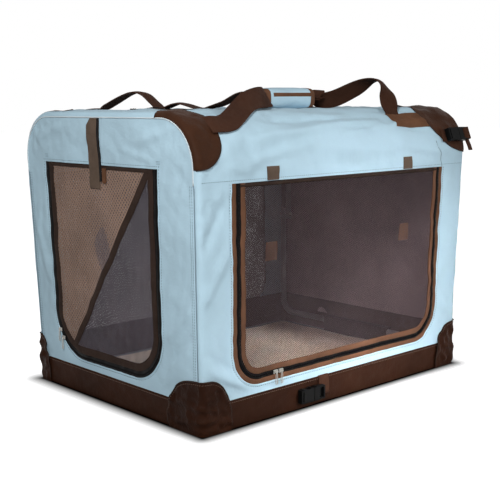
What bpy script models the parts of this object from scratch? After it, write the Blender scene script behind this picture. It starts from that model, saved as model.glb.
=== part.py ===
# A soft folding dog crate: a cloth body over a folding steel-tube frame.
# Metres, +Z up, the long side along X, the strapped end door at -X, the long zip door at -Y.
# The cloth pieces are first drawn square and then leaned in towards the floor.

import bpy
import bmesh
import math
from mathutils import Matrix, Vector

# Cloth body, outside, at the roof
LENGTH = 0.700
WIDTH = 0.520
HEIGHT = 0.523
END_LEAN = 0.015
SIDE_LEAN = 0.014
CLOTH = 0.003
ROOF_EDGE_RADIUS = 0.090
SEAM_RADIUS = 0.010
BAND_HEIGHT = 0.050
CAP_DEPTH = 0.114
CAP_LOW = HEIGHT - CAP_DEPTH
GAP = 0.0003
OVERRUN = 0.020
ARC_STEPS = 6
FLAT_ANGLE = 0.02
ROUND_PROFILE_SHARE = 0.5

# Doors and windows, before the lean
FRONT_DOOR_MARGIN = 0.072
FRONT_DOOR_HALF = LENGTH / 2 - FRONT_DOOR_MARGIN
FRONT_DOOR_TOP = CAP_LOW - GAP
DOOR_BOTTOM = 0.066
FRONT_DOOR_RADIUS = 0.060
LEFT_DOOR_MARGIN = 0.089
LEFT_DOOR_HALF = WIDTH / 2 - LEFT_DOOR_MARGIN
LEFT_DOOR_CENTRE_Y = 0.015
LEFT_DOOR_RISE = 0.022
LEFT_DOOR_TOP = CAP_LOW + LEFT_DOOR_RISE
LEFT_DOOR_RADIUS = 0.085
WINDOW_DROP = 0.009
WINDOW_TOP = CAP_LOW - WINDOW_DROP
TAPE_WIDTH = 0.011
COIL_WIDTH = 0.005
BINDING_WIDTH = 0.011
LEFT_BINDING_WIDTH = 0.020
TAPE_THICKNESS = 0.0012
COIL_THICKNESS = 0.0026
BINDING_THICKNESS = 0.0016
MESH_THICKNESS = 0.0012
HEM_WIDTH = 0.006
LINING_THICKNESS = 0.0010
LINING_BACK = BINDING_THICKNESS / 2 + GAP

# Corner patches
PATCH_THICKNESS = 0.0015
PATCH_HEIGHT = 0.092
PATCH_RISE = 0.001
PATCH_SHORT = 0.036
PATCH_MIDDLE = 0.060
PATCH_LONG = 0.086
TOP_PATCH_LEFT = 0.060
TOP_PATCH_RIGHT = 0.108
TOP_PATCH_SPAN = 0.146
PATCH_SEAM_INSET = 0.010
PATCH_DEPTH = 0.050

# Steel frame
TUBE = 0.013
BORE_CLEARANCE = 0.0004
FRAME_END_INSET = 0.030
FRAME_X = LENGTH / 2 - FRAME_END_INSET
BASE_FRAME_INSET = 0.024
BASE_FRAME_Y = WIDTH / 2 - BASE_FRAME_INSET
LOWER_LEG_INSET = 0.028
LOWER_LEG_Y = WIDTH / 2 - LOWER_LEG_INSET
LEG_STEP = 0.0155
UPPER_LEG_Y = LOWER_LEG_Y - LEG_STEP
BASE_HINGE_Z = 0.040
BASE_BEND = 0.030
UPPER_BEND = 0.085
ROOF_FRAME_INSET = 0.025
ROOF_FRAME_SIDE_INSET = 0.095
ROOF_FRAME_Y = WIDTH / 2 - ROOF_FRAME_SIDE_INSET
ROOF_FRAME_BEND = 0.040
KNEE_OVERLAP = 0.011
KNEE_PIN = 0.005
KNEE_HEAD = 0.009
KNEE_HEAD_THICKNESS = 0.002
SADDLE_LENGTH = 0.180
SADDLE_WALL = 0.004
ROOF_HINGE_Z = HEIGHT - CLOTH - GAP - SADDLE_WALL - BORE_CLEARANCE - TUBE / 2

# Mat
MAT_END_ROOM = 0.100
MAT_SIDE_ROOM = 0.090
MAT_LENGTH = LENGTH - MAT_END_ROOM
MAT_WIDTH = WIDTH - MAT_SIDE_ROOM
MAT_THICKNESS = 0.022
MAT_CROWN = 0.004
MAT_EDGE = 0.008
MAT_PULL = 0.006
MAT_CORNER = 0.030

# Webbing and the carry handle
WEB_WIDTH = 0.038
WEB_THICKNESS = 0.0018
WEB_STEPS = 4
GRIP_LENGTH = 0.140
GRIP_WIDTH = 0.060
GRIP_HEIGHT = 0.040
GRIP_ROUND = 0.012
GRIP_X = 0.005
GRIP_Y = -0.090
GRIP_SLOT_WIDTH = 0.042
GRIP_SLOT_HEIGHT = 0.0060
STRAP_STACK = 0.0032

# Door strap and sewn tabs
DOOR_STRAP_WIDTH = 0.032
DOOR_STRAP_LENGTH = 0.122
DOOR_STRAP_Y = 0.030
DOOR_STRAP_DROP = 0.011
DOOR_STRAP_TOP = HEIGHT - DOOR_STRAP_DROP
HOOK_STRIP_WIDTH = 0.012
TAB_WIDTH = 0.026
TAB_HEIGHT = 0.024
TAB_LEFT_INSET = 0.091
TAB_RIGHT_INSET = 0.109
TAB_LEFT_X = TAB_LEFT_INSET - FRONT_DOOR_HALF
TAB_RIGHT_X = FRONT_DOOR_HALF - TAB_RIGHT_INSET
INNER_TAB_HEIGHT = 0.032
INNER_TAB_DROP = 0.119
INNER_TAB_Z = CAP_LOW - INNER_TAB_DROP

# Zip sliders and pulls
SLIDER_WIDTH = 0.007
SLIDER_LENGTH = 0.010
SLIDER_THICKNESS = 0.0022
SLIDER_PIN_RADIUS = 0.0006
CHEEK_WIDTH = 0.0013
PULL_WIDTH = 0.006
PULL_LENGTH = 0.022
PULL_THICKNESS = 0.0012
PULL_EYE_RADIUS = 0.0013
FRONT_SLIDER_INSETS = (0.098, 0.111)
FRONT_SLIDER_X = tuple(inset - FRONT_DOOR_HALF for inset in FRONT_SLIDER_INSETS)
LEFT_SLIDER_ANGLES = (-28.0, -40.0)
ROOF_ZIP_Y = 0.060
ROOF_ZIP_MARGIN = 0.095
ROOF_ZIP_HALF = LENGTH / 2 - ROOF_ZIP_MARGIN
ROOF_SLIDER_INSET = 0.020
ROOF_SLIDER_X = ROOF_SLIDER_INSET - ROOF_ZIP_HALF

# Side-release buckles
BUCKLE_WIDTH = 0.032
BUCKLE_HEIGHT = 0.026
BUCKLE_THICKNESS = 0.010
PRONG_WIDTH = 0.004
PRONG_LENGTH = 0.016
PRONG_THICKNESS = 0.004
PRONG_SPREAD = 0.008
PRONG_CLEARANCE = 0.0005
BASE_BUCKLE_X = -0.0905
BASE_BUCKLE_Z = 0.024
TOP_BUCKLE_INSET = 0.032
TOP_BUCKLE_X = LENGTH / 2 - TOP_BUCKLE_INSET
TOP_BUCKLE_ANGLE = 22.5
BUCKLE_WEB_WIDTH = 0.025
BASE_WEB_X = 0.020

COLOURS = {
    "cloth": ((0.42, 0.62, 0.72), 0.85, 0.0),
    "brown": ((0.085, 0.045, 0.032), 0.85, 0.0),
    "webbing": ((0.16, 0.095, 0.07), 0.8, 0.0),
    "mesh": ((0.07, 0.055, 0.06), 0.7, 0.0),
    "coil": ((0.012, 0.012, 0.013), 0.5, 0.0),
    "mat": ((0.34, 0.29, 0.26), 0.95, 0.0),
    "steel": ((0.30, 0.31, 0.33), 0.35, 0.9),
    "plastic": ((0.015, 0.015, 0.017), 0.45, 0.0),
    "pull": ((0.66, 0.66, 0.64), 0.3, 1.0),
}


def clear_scene():
    for obj in list(bpy.data.objects):
        bpy.data.objects.remove(obj, do_unlink=True)


def material(kind):
    found = bpy.data.materials.get(kind)
    if found:
        return found
    colour, roughness, metallic = COLOURS[kind]
    made = bpy.data.materials.new(kind)
    made.use_nodes = True
    shader = made.node_tree.nodes["Principled BSDF"]
    shader.inputs["Base Color"].default_value = (*colour, 1)
    shader.inputs["Roughness"].default_value = roughness
    shader.inputs["Metallic"].default_value = metallic
    return made


def link(name, data):
    obj = bpy.data.objects.new(name, data)
    bpy.context.scene.collection.objects.link(obj)
    return obj


def bake(obj, merge=True):
    # Turns a curve, or a mesh with modifiers, into a plain mesh in world space.
    graph = bpy.context.evaluated_depsgraph_get()
    graph.update()
    mesh = bpy.data.meshes.new_from_object(obj.evaluated_get(graph), depsgraph=graph)
    mesh.transform(obj.matrix_world)
    if merge:
        work = bmesh.new()
        work.from_mesh(mesh)
        bmesh.ops.remove_doubles(work, verts=work.verts, dist=GAP / 10)
        bmesh.ops.recalc_face_normals(work, faces=work.faces)
        work.to_mesh(mesh)
        work.free()
    name = obj.name
    bpy.data.objects.remove(obj, do_unlink=True)
    made = link(name, mesh)
    return made


def combine(obj, cutter, operation="DIFFERENCE", keep=False):
    # Joins, cuts or crosses two solids and leaves a plain mesh.
    modifier = obj.modifiers.new(operation.title(), "BOOLEAN")
    modifier.operation = operation
    modifier.solver = "EXACT"
    modifier.object = cutter
    bpy.context.view_layer.update()
    made = bake(obj)
    if not keep:
        bpy.data.objects.remove(cutter, do_unlink=True)
    return made


def box(name, low, high):
    size = [b - a for a, b in zip(low, high)]
    middle = [(a + b) / 2 for a, b in zip(low, high)]
    bpy.ops.mesh.primitive_cube_add(size=1, location=middle)
    obj = bpy.context.object
    obj.name = name
    obj.scale = size
    bpy.context.view_layer.update()
    return bake(obj)


def cylinder(name, radius, start, end, sides=16):
    start, end = Vector(start), Vector(end)
    along = end - start
    bpy.ops.mesh.primitive_cylinder_add(vertices=sides, radius=radius, depth=along.length)
    obj = bpy.context.object
    obj.name = name
    obj.location = (start + end) / 2
    obj.rotation_euler = along.to_track_quat("Z", "Y").to_euler()
    bpy.context.view_layer.update()
    return bake(obj)


def prism(name, outline, axis, low, high):
    # A closed outline pushed along x (outline in y, z), y (outline in x, z) or z (outline in x, y).
    curve = bpy.data.curves.new(name, "CURVE")
    curve.dimensions = "2D"
    curve.fill_mode = "BOTH"
    curve.extrude = (high - low) / 2
    curve.render_resolution_u = 0
    spline = curve.splines.new("POLY")
    spline.points.add(len(outline) - 1)
    for point, (u, v) in zip(spline.points, outline):
        point.co = (u, v, 0, 1)
    spline.use_cyclic_u = True
    obj = link(name, curve)
    middle = (low + high) / 2
    if axis == "x":
        obj.rotation_euler = (math.pi / 2, 0, math.pi / 2)
        obj.location = (middle, 0, 0)
    elif axis == "y":
        obj.rotation_euler = (math.pi / 2, 0, 0)
        obj.location = (0, middle, 0)
    else:
        obj.location = (0, 0, middle)
    bpy.context.view_layer.update()
    return bake(obj)


def tube(name, points, radius=TUBE / 2, closed=False, resolution=2):
    curve = bpy.data.curves.new(name, "CURVE")
    curve.dimensions = "3D"
    curve.bevel_depth = radius
    curve.bevel_resolution = resolution
    curve.use_fill_caps = True
    curve.render_resolution_u = 0
    spline = curve.splines.new("POLY")
    spline.points.add(len(points) - 1)
    for point, co in zip(spline.points, points):
        point.co = (*co, 1)
    spline.use_cyclic_u = closed
    return bake(link(name, curve))


def arc(centre, radius, start, end, steps=ARC_STEPS):
    return [
        (
            centre[0] + radius * math.cos(math.radians(start + (end - start) * i / steps)),
            centre[1] + radius * math.sin(math.radians(start + (end - start) * i / steps)),
        )
        for i in range(steps + 1)
    ]


def lean(obj):
    # Draws the cloth in towards the floor, as the narrower base frame does.
    for vertex in obj.data.vertices:
        down = 1 - vertex.co.z / HEIGHT
        vertex.co.x *= 1 - END_LEAN * down / (LENGTH / 2)
        vertex.co.y *= 1 - SIDE_LEAN * down / (WIDTH / 2)
    obj.data.update()
    return obj


def lean_point(x, y, z):
    down = 1 - z / HEIGHT
    return (
        x * (1 - END_LEAN * down / (LENGTH / 2)),
        y * (1 - SIDE_LEAN * down / (WIDTH / 2)),
        z,
    )


def finish(obj, kind, parent=None, smooth=False):
    obj.data.materials.clear()
    obj.data.materials.append(material(kind))
    if smooth:
        for face in obj.data.polygons:
            face.use_smooth = True
    if parent:
        bpy.context.view_layer.update()
        obj.parent = parent
        obj.matrix_parent_inverse = parent.matrix_world.inverted()
    return obj


def pivot(name, location, parent=None):
    empty = link(name, None)
    empty.location = location
    bpy.context.view_layer.update()
    if parent:
        empty.parent = parent
        empty.matrix_parent_inverse = parent.matrix_world.inverted()
    bpy.context.view_layer.update()
    return empty


# The cloth body
def loaf_outline(inset, low):
    # The end profile: straight sides, wide rounded roof edges and a flat top.
    half = WIDTH / 2 - inset
    radius = ROOF_EDGE_RADIUS - inset
    side = WIDTH / 2 - ROOF_EDGE_RADIUS
    spring = HEIGHT - ROOF_EDGE_RADIUS
    right = arc((side, spring), radius, 0, 90)
    left = arc((-side, spring), radius, 90, 180)
    return [(-half, low), (half, low), *right, *left]


def loaf(name, inset, low=-OVERRUN, radius=SEAM_RADIUS):
    # The whole body as a solid block, with rounded ends, inset from the outside.
    half = LENGTH / 2 - inset
    block = prism(name, loaf_outline(inset, low), "x", -half, half)
    work = bmesh.new()
    work.from_mesh(block.data)
    bmesh.ops.dissolve_limit(work, angle_limit=FLAT_ANGLE, verts=work.verts, edges=work.edges)
    edges = [
        edge
        for edge in work.edges
        if abs(edge.verts[0].co.x + edge.verts[1].co.x) > half * 2 - GAP
        and not all(abs(vert.co.z - low) < GAP / 2 for vert in edge.verts)
    ]
    bmesh.ops.bevel(
        work, geom=edges, offset=radius - inset, segments=3, profile=ROUND_PROFILE_SHARE, affect="EDGES"
    )
    bmesh.ops.recalc_face_normals(work, faces=work.faces)
    work.to_mesh(block.data)
    work.free()
    return block


def slab(name, low, high):
    reach = LENGTH
    return box(name, (-reach, -reach, low), (reach, reach, high))


def skin(name, region, outer=0.0, inner=CLOTH):
    # The part of the cloth, or of a layer over it, that lies inside a region.
    block = combine(loaf(name, outer), region, "INTERSECT")
    return combine(block, loaf(name + "_inside", inner, -OVERRUN * 2))


def front_outline(inset, top=FRONT_DOOR_TOP):
    half = FRONT_DOOR_HALF - inset
    bottom = DOOR_BOTTOM + inset
    radius = FRONT_DOOR_RADIUS - inset
    return u_outline(0.0, half, bottom, top, radius)


def left_outline(inset, top=LEFT_DOOR_TOP):
    half = LEFT_DOOR_HALF - inset
    bottom = DOOR_BOTTOM + inset
    radius = LEFT_DOOR_RADIUS - inset
    return u_outline(LEFT_DOOR_CENTRE_Y, half, bottom, top, radius)


def u_outline(middle, half, bottom, top, radius):
    left = arc((middle - half + radius, bottom + radius), radius, 180, 270)
    right = arc((middle + half - radius, bottom + radius), radius, 270, 360)
    return [(middle - half, top), *left, *right, (middle + half, top)]


def band_outline(outline, outer, inner, top):
    return outline(outer, top) + outline(inner, top)[::-1]


def make_tub(body):
    # The brown cloth band and floor.
    tub = combine(loaf("base_tub", 0.0), slab("tub_slice", 0, BAND_HEIGHT), "INTERSECT")
    inside = combine(
        loaf("tub_inside", CLOTH), slab("tub_hollow", CLOTH, BAND_HEIGHT + OVERRUN), "INTERSECT"
    )
    return finish(lean(combine(tub, inside)), "brown", body)


def make_walls(body):
    # The front and back panels turn the corners; the end panels sit between the corner seams.
    low = BAND_HEIGHT + GAP
    high = CAP_LOW - GAP
    seam = WIDTH / 2 - SEAM_RADIUS
    reach = LENGTH
    region = box("front_side", (-reach, -reach, low), (reach, -seam, high))
    opening = prism(
        "front_opening", front_outline(0, CAP_LOW + OVERRUN), "y", -WIDTH, -WIDTH / 2 + OVERRUN
    )
    finish(lean(combine(skin("front_wall", region), opening)), "cloth", body)
    region = box("back_side", (-reach, seam, low), (reach, reach, high))
    opening = prism(
        "back_opening", front_outline(0, WINDOW_TOP), "y", WIDTH / 2 - OVERRUN, WIDTH
    )
    finish(lean(combine(skin("back_wall", region), opening)), "cloth", body)
    for side, name in ((-1, "left_end_wall"), (1, "right_end_wall")):
        near, far = sorted((side * (LENGTH / 2 - SEAM_RADIUS), side * LENGTH))
        inside = seam - GAP
        region = box(name + "_side", (near, -inside, low), (far, inside, high))
        top = CAP_LOW + OVERRUN if side < 0 else WINDOW_TOP
        opening = prism(name + "_opening", left_outline(0, top), "x", near, far)
        finish(lean(combine(skin(name, region), opening)), "cloth", body)


def make_windows(body):
    # The fixed mesh windows of the back and the right end.
    middle = WIDTH / 2 - CLOTH / 2
    half = MESH_THICKNESS / 2
    outline = front_outline(GAP, WINDOW_TOP - GAP)
    mesh = prism("back_window", outline, "y", middle - half, middle + half)
    finish(lean(mesh), "mesh", body)
    middle = LENGTH / 2 - CLOTH / 2
    outline = left_outline(GAP, WINDOW_TOP - GAP)
    mesh = prism("right_window", outline, "x", middle - half, middle + half)
    finish(lean(mesh), "mesh", body)


def make_cap(roof):
    # The rounded roof panel, which the end door's opening cuts into.
    cap = skin("roof_panel", slab("cap_slice", CAP_LOW, HEIGHT + OVERRUN))
    notch = prism(
        "door_notch", left_outline(0), "x", -LENGTH, -LENGTH / 2 + OVERRUN
    )
    return finish(lean(combine(cap, notch)), "cloth", roof, smooth=False)


def front_band(name, outer, inner, thickness, kind, body):
    middle = -WIDTH / 2 + CLOTH / 2
    outline = band_outline(front_outline, outer, inner, FRONT_DOOR_TOP)
    band = prism(name, outline, "y", middle - thickness / 2, middle + thickness / 2)
    return finish(lean(band), kind, body)


def left_band(name, outer, inner, thickness, kind, body):
    middle = -LENGTH / 2 + CLOTH / 2
    outline = band_outline(left_outline, outer, inner, LEFT_DOOR_TOP - GAP)
    band = prism(name, outline, "x", middle - thickness / 2, middle + thickness / 2)
    return finish(lean(band), kind, body)


COIL_OUT = GAP + TAPE_WIDTH + GAP
COIL_IN = COIL_OUT + COIL_WIDTH
BINDING_OUT = COIL_IN + GAP
BINDING_IN = BINDING_OUT + BINDING_WIDTH
LEFT_COIL_IN = GAP + COIL_WIDTH
LEFT_BINDING_OUT = LEFT_COIL_IN + GAP
LEFT_BINDING_IN = LEFT_BINDING_OUT + LEFT_BINDING_WIDTH


def make_zips(body):
    front_band("front_zip_tape", GAP, GAP + TAPE_WIDTH, TAPE_THICKNESS, "webbing", body)
    front_band("front_zip_coil", COIL_OUT, COIL_IN, COIL_THICKNESS, "coil", body)
    left_band("left_zip_coil", GAP, LEFT_COIL_IN, COIL_THICKNESS, "coil", body)


def make_front_door(door):
    # The mesh panel, its sewn binding with the top hem, and the two tabs behind the mesh.
    middle = -WIDTH / 2 + CLOTH / 2
    half = BINDING_THICKNESS / 2
    inner_top = FRONT_DOOR_TOP - HEM_WIDTH
    frame = prism(
        "front_door_binding", front_outline(BINDING_OUT), "y", middle - half, middle + half
    )
    hole = prism(
        "binding_hole", front_outline(BINDING_IN, inner_top), "y", -WIDTH, 0
    )
    finish(lean(combine(frame, hole)), "webbing", door)
    half = MESH_THICKNESS / 2
    outline = front_outline(BINDING_IN + GAP, inner_top - GAP)
    finish(lean(prism("front_door_mesh", outline, "y", middle - half, middle + half)), "mesh", door)
    near = middle + half + GAP
    for name, x in (("front_door_tab_left", TAB_LEFT_X), ("front_door_tab_right", TAB_RIGHT_X)):
        low = (x - TAB_WIDTH / 2, near, INNER_TAB_Z - INNER_TAB_HEIGHT / 2)
        high = (x + TAB_WIDTH / 2, near + WEB_THICKNESS, INNER_TAB_Z + INNER_TAB_HEIGHT / 2)
        finish(lean(box(name, low, high)), "webbing", door)


def make_left_door(door):
    # The mesh panel, its binding, and the bound corner of lining behind the mesh.
    middle = -LENGTH / 2 + CLOTH / 2
    half = BINDING_THICKNESS / 2
    top = LEFT_DOOR_TOP - GAP
    inner_top = top - HEM_WIDTH
    frame = prism(
        "left_door_binding", left_outline(LEFT_BINDING_OUT, top), "x", middle - half, middle + half
    )
    hole = prism("left_hole", left_outline(LEFT_BINDING_IN, inner_top), "x", -LENGTH, 0)
    finish(lean(combine(frame, hole)), "brown", door)
    half = MESH_THICKNESS / 2
    outline = left_outline(LEFT_BINDING_IN + GAP, inner_top - GAP)
    finish(lean(prism("left_door_mesh", outline, "x", middle - half, middle + half)), "mesh", door)
    near = middle + LINING_BACK
    outline = left_outline(LEFT_BINDING_IN + GAP, inner_top - GAP)
    lining = prism("left_door_lining", outline, "x", near, near + LINING_THICKNESS)
    inset = LEFT_DOOR_HALF - LEFT_BINDING_IN
    low_y = LEFT_DOOR_CENTRE_Y + inset
    corner = [
        (low_y + OVERRUN, DOOR_BOTTOM + LEFT_BINDING_IN - GAP),
        (low_y + OVERRUN, inner_top + OVERRUN),
        (LEFT_DOOR_CENTRE_Y - inset - GAP, inner_top + OVERRUN),
        (LEFT_DOOR_CENTRE_Y - inset - GAP, inner_top - HEM_WIDTH),
        (LEFT_DOOR_CENTRE_Y + inset - PATCH_SHORT, DOOR_BOTTOM + LEFT_BINDING_IN - GAP),
    ]
    half_lining = prism("lining_corner", corner, "x", near - OVERRUN, near + OVERRUN)
    finish(lean(combine(lining, half_lining, "INTERSECT")), "mesh", door)


# Corner patches
def patch(name, region):
    # A thin skin just outside the cloth.
    return skin(name, region, -GAP - PATCH_THICKNESS, -GAP)


LEAF_SHARES = ((1.0, 0.0), (0.96, 0.56), (0.80, 0.76), (0.58, 0.90), (0.30, 0.985))


def leaf(corner, direction, reach, low):
    # One half of a shield-shaped patch: full width at the floor, a rounded top at the corner.
    side = [
        (corner + direction * reach * across, PATCH_RISE + (PATCH_HEIGHT - PATCH_RISE) * up)
        for across, up in LEAF_SHARES
    ]
    outside = corner - direction * OVERRUN
    top = PATCH_HEIGHT + PATCH_THICKNESS
    return [(outside, low), (side[0][0], low), *side, (corner, PATCH_HEIGHT), (outside, top)]


def make_bottom_patch(name, end, side, along_end, along_side, body):
    corner_x = end * LENGTH / 2
    corner_y = side * WIDTH / 2
    depth = SEAM_RADIUS + CLOTH
    near, far = sorted((corner_x - end * depth, corner_x + end * OVERRUN))
    on_end = prism(name + "_end", leaf(corner_y, -side, along_end, -OVERRUN), "x", near, far)
    near, far = sorted((corner_y - side * depth, corner_y + side * OVERRUN))
    on_side = prism(name + "_side", leaf(corner_x, -end, along_side, -OVERRUN * 2), "y", near, far)
    region = combine(on_end, on_side, "UNION")
    region = combine(region, slab(name + "_above", PATCH_RISE, HEIGHT), "INTERSECT")
    return finish(lean(patch(name, region)), "brown", body)


def make_bottom_patches(body):
    make_bottom_patch("front_left_bottom_patch", -1, -1, PATCH_LONG, PATCH_MIDDLE, body)
    make_bottom_patch("front_right_bottom_patch", 1, -1, PATCH_LONG, PATCH_MIDDLE, body)
    make_bottom_patch("back_left_bottom_patch", -1, 1, PATCH_SHORT, PATCH_LONG, body)
    make_bottom_patch("back_right_bottom_patch", 1, 1, PATCH_SHORT, PATCH_LONG, body)


# Left patches are half ovals, right patches are longer at the top and come to a point.
TOP_LEFT_SHARES = ((0.42, 0.02), (0.74, 0.10), (0.95, 0.26), (1.0, 0.48), (0.97, 0.72), (0.84, 0.92))
TOP_RIGHT_SHARES = ((0.22, 0.02), (0.48, 0.08), (0.70, 0.20), (0.86, 0.38), (0.95, 0.66), (1.0, 0.96))


def make_top_patch(name, end, side, reach, shares, roof):
    # The leaf is cut square to the middle of the rounded roof edge.
    root = math.sqrt(1 / 2)
    spring = HEIGHT - ROOF_EDGE_RADIUS
    centre = WIDTH / 2 - ROOF_EDGE_RADIUS
    middle = (spring - centre) * root
    low = middle - TOP_PATCH_SPAN / 2
    corner = end * LENGTH / 2
    outside = corner + end * OVERRUN
    rim = [(corner - end * reach * across, low + TOP_PATCH_SPAN * up) for across, up in shares]
    outline = [(outside, low), *rim, (rim[-1][0], low + TOP_PATCH_SPAN), (outside, low + TOP_PATCH_SPAN)]
    depth = (spring + centre) * root
    curve = prism(name + "_leaf", outline, "z", depth - PATCH_DEPTH / 5, depth + PATCH_DEPTH * 3)
    # Outline across is x, outline up is the slope of the roof edge, and depth is out of it.
    turn = Matrix(((1, 0, 0, 0), (0, -side * root, side * root, 0), (0, root, root, 0), (0, 0, 0, 1)))
    if side < 0:
        turn = Matrix(((1, 0, 0, 0), (0, root, -root, 0), (0, root, root, 0), (0, 0, 0, 1)))
    curve.data.transform(turn)
    if turn.determinant() < 0:
        curve.data.flip_normals()
    above = slab(name + "_above", CAP_LOW, HEIGHT + OVERRUN)
    cover = patch(name, combine(curve, above, "INTERSECT"))
    near, far = sorted((corner - end * GAP, corner + end * OVERRUN))
    seam = prism(name + "_seam", loaf_outline(PATCH_SEAM_INSET, 0), "x", near, far)
    return finish(lean(combine(cover, seam)), "brown", roof)


def make_top_patches(roof):
    left, right = TOP_PATCH_LEFT, TOP_PATCH_RIGHT
    make_top_patch("front_left_top_patch", -1, -1, left, TOP_LEFT_SHARES, roof)
    make_top_patch("back_left_top_patch", -1, 1, left, TOP_LEFT_SHARES, roof)
    make_top_patch("front_right_top_patch", 1, -1, right, TOP_RIGHT_SHARES, roof)
    make_top_patch("back_right_top_patch", 1, 1, right, TOP_RIGHT_SHARES, roof)


# Steel frame
def round_loop(half_x, half_y, radius, z):
    corners = []
    for sx, sy, start in ((1, 1, 0), (-1, 1, 90), (-1, -1, 180), (1, -1, 270)):
        centre = (sx * (half_x - radius), sy * (half_y - radius))
        corners += [(x, y, z) for x, y in arc(centre, radius, start, start + 90)]
    return corners


BASE_FRAME_Z = CLOTH + GAP + TUBE / 2


def make_base_frame(body):
    points = round_loop(FRAME_X, BASE_FRAME_Y, BASE_BEND, BASE_FRAME_Z)
    return finish(tube("base_frame", points, closed=True), "steel", body, smooth=True)


def make_roof_frame(roof):
    points = round_loop(FRAME_X - ROOF_FRAME_INSET, ROOF_FRAME_Y, ROOF_FRAME_BEND, ROOF_HINGE_Z)
    return finish(tube("roof_frame", points, closed=True), "steel", roof, smooth=True)


KNEE_Z = (BASE_HINGE_Z + ROOF_HINGE_Z) / 2


def make_lower_frame(name, end, body):
    # A tube bent up at both ends, with a pivot stub riveted through each top.
    x = end * FRAME_X
    top = KNEE_Z + KNEE_OVERLAP
    left = arc((-LOWER_LEG_Y + BASE_BEND, BASE_HINGE_Z + BASE_BEND), BASE_BEND, 180, 270)
    right = arc((LOWER_LEG_Y - BASE_BEND, BASE_HINGE_Z + BASE_BEND), BASE_BEND, 270, 360)
    path = [(-LOWER_LEG_Y, top), *left, *right, (LOWER_LEG_Y, top)]
    frame = tube(name, [(x, y, z) for y, z in path])
    inner = UPPER_LEG_Y - TUBE / 2 - GAP
    for side in (-1, 1):
        pin = cylinder(
            name + "_pin",
            KNEE_PIN / 2,
            (x, side * LOWER_LEG_Y, KNEE_Z),
            (x, side * (inner - KNEE_HEAD_THICKNESS / 2), KNEE_Z),
        )
        frame = combine(frame, pin, "UNION")
        head = cylinder(
            name + "_head",
            KNEE_HEAD / 2,
            (x, side * inner, KNEE_Z),
            (x, side * (inner - KNEE_HEAD_THICKNESS), KNEE_Z),
        )
        frame = combine(frame, head, "UNION")
    return finish(frame, "steel", body)


def make_upper_frame(name, end, body):
    # The inverted hoop with wide bends, bored at its feet for the knee pivots.
    x = end * FRAME_X
    foot = KNEE_Z - KNEE_OVERLAP
    spring = ROOF_HINGE_Z - UPPER_BEND
    right = arc((UPPER_LEG_Y - UPPER_BEND, spring), UPPER_BEND, 0, 90)
    left = arc((-UPPER_LEG_Y + UPPER_BEND, spring), UPPER_BEND, 90, 180)
    path = [(UPPER_LEG_Y, foot), *right, *left, (-UPPER_LEG_Y, foot)]
    frame = tube(name, [(x, y, z) for y, z in path])
    bore = cylinder(
        name + "_bore",
        KNEE_PIN / 2 + BORE_CLEARANCE,
        (x, -WIDTH / 2, KNEE_Z),
        (x, WIDTH / 2, KNEE_Z),
    )
    return finish(combine(frame, bore), "steel", body)


def make_saddles(body, roof):
    # Plastic blocks that the end frames turn in, on the base frame and under the roof frame.
    bore = TUBE / 2 + BORE_CLEARANCE
    half = bore + SADDLE_WALL
    y = SADDLE_LENGTH / 2
    for end, word in ((-1, "left"), (1, "right")):
        x = end * FRAME_X
        low = (x - half, -y, BASE_FRAME_Z)
        saddle = box(word + "_base_hinge", low, (x + half, y, BASE_HINGE_Z + half))
        for z in (BASE_FRAME_Z, BASE_HINGE_Z):
            hole = cylinder("hole", bore, (x, -WIDTH / 2, z), (x, WIDTH / 2, z))
            saddle = combine(saddle, hole)
        finish(saddle, "plastic", body)
        inner = x - end * ROOF_FRAME_INSET
        near, far = sorted((x + end * half, inner - end * half))
        low = (near, -y, ROOF_HINGE_Z - half)
        saddle = box(word + "_roof_hinge", low, (far, y, ROOF_HINGE_Z + half))
        for centre in (x, inner):
            start = (centre, -WIDTH / 2, ROOF_HINGE_Z)
            hole = cylinder("hole", bore, start, (centre, WIDTH / 2, ROOF_HINGE_Z))
            saddle = combine(saddle, hole)
        finish(saddle, "plastic", roof)


def make_mat(body):
    # A padded mat with rounded corners, drawn-in sides and a crowned top.
    low = CLOTH + GAP
    x, y = MAT_LENGTH / 2, MAT_WIDTH / 2
    outline = []
    for sx, sy, start in ((1, 1, 0), (-1, 1, 90), (-1, -1, 180), (1, -1, 270)):
        centre = (sx * (x - MAT_CORNER), sy * (y - MAT_CORNER))
        outline += arc(centre, MAT_CORNER, start, start + 90, 3)
        middle = (0, sy * (y - MAT_PULL)) if start in (0, 180) else (sx * (x - MAT_PULL), 0)
        outline.append(middle)
    mat = prism("floor_mat", outline, "z", low, low + MAT_THICKNESS - MAT_CROWN)
    work = bmesh.new()
    work.from_mesh(mat.data)
    bmesh.ops.dissolve_limit(work, angle_limit=FLAT_ANGLE / 4, verts=[], edges=work.edges)
    top = max(work.faces, key=lambda face: face.calc_center_median().z)
    edges = list(top.edges)
    bmesh.ops.bevel(work, geom=edges, offset=MAT_EDGE, segments=2, profile=ROUND_PROFILE_SHARE, affect="EDGES")
    bmesh.ops.recalc_face_normals(work, faces=work.faces)
    top = max(work.faces, key=lambda face: face.calc_center_median().z)
    bmesh.ops.poke(work, faces=[top], offset=MAT_CROWN, center_mode="MEAN")
    bmesh.ops.triangulate(work, faces=[face for face in work.faces if len(face.verts) > 4])
    bmesh.ops.recalc_face_normals(work, faces=work.faces)
    work.to_mesh(mat.data)
    work.free()
    return finish(mat, "mat", body)


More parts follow.
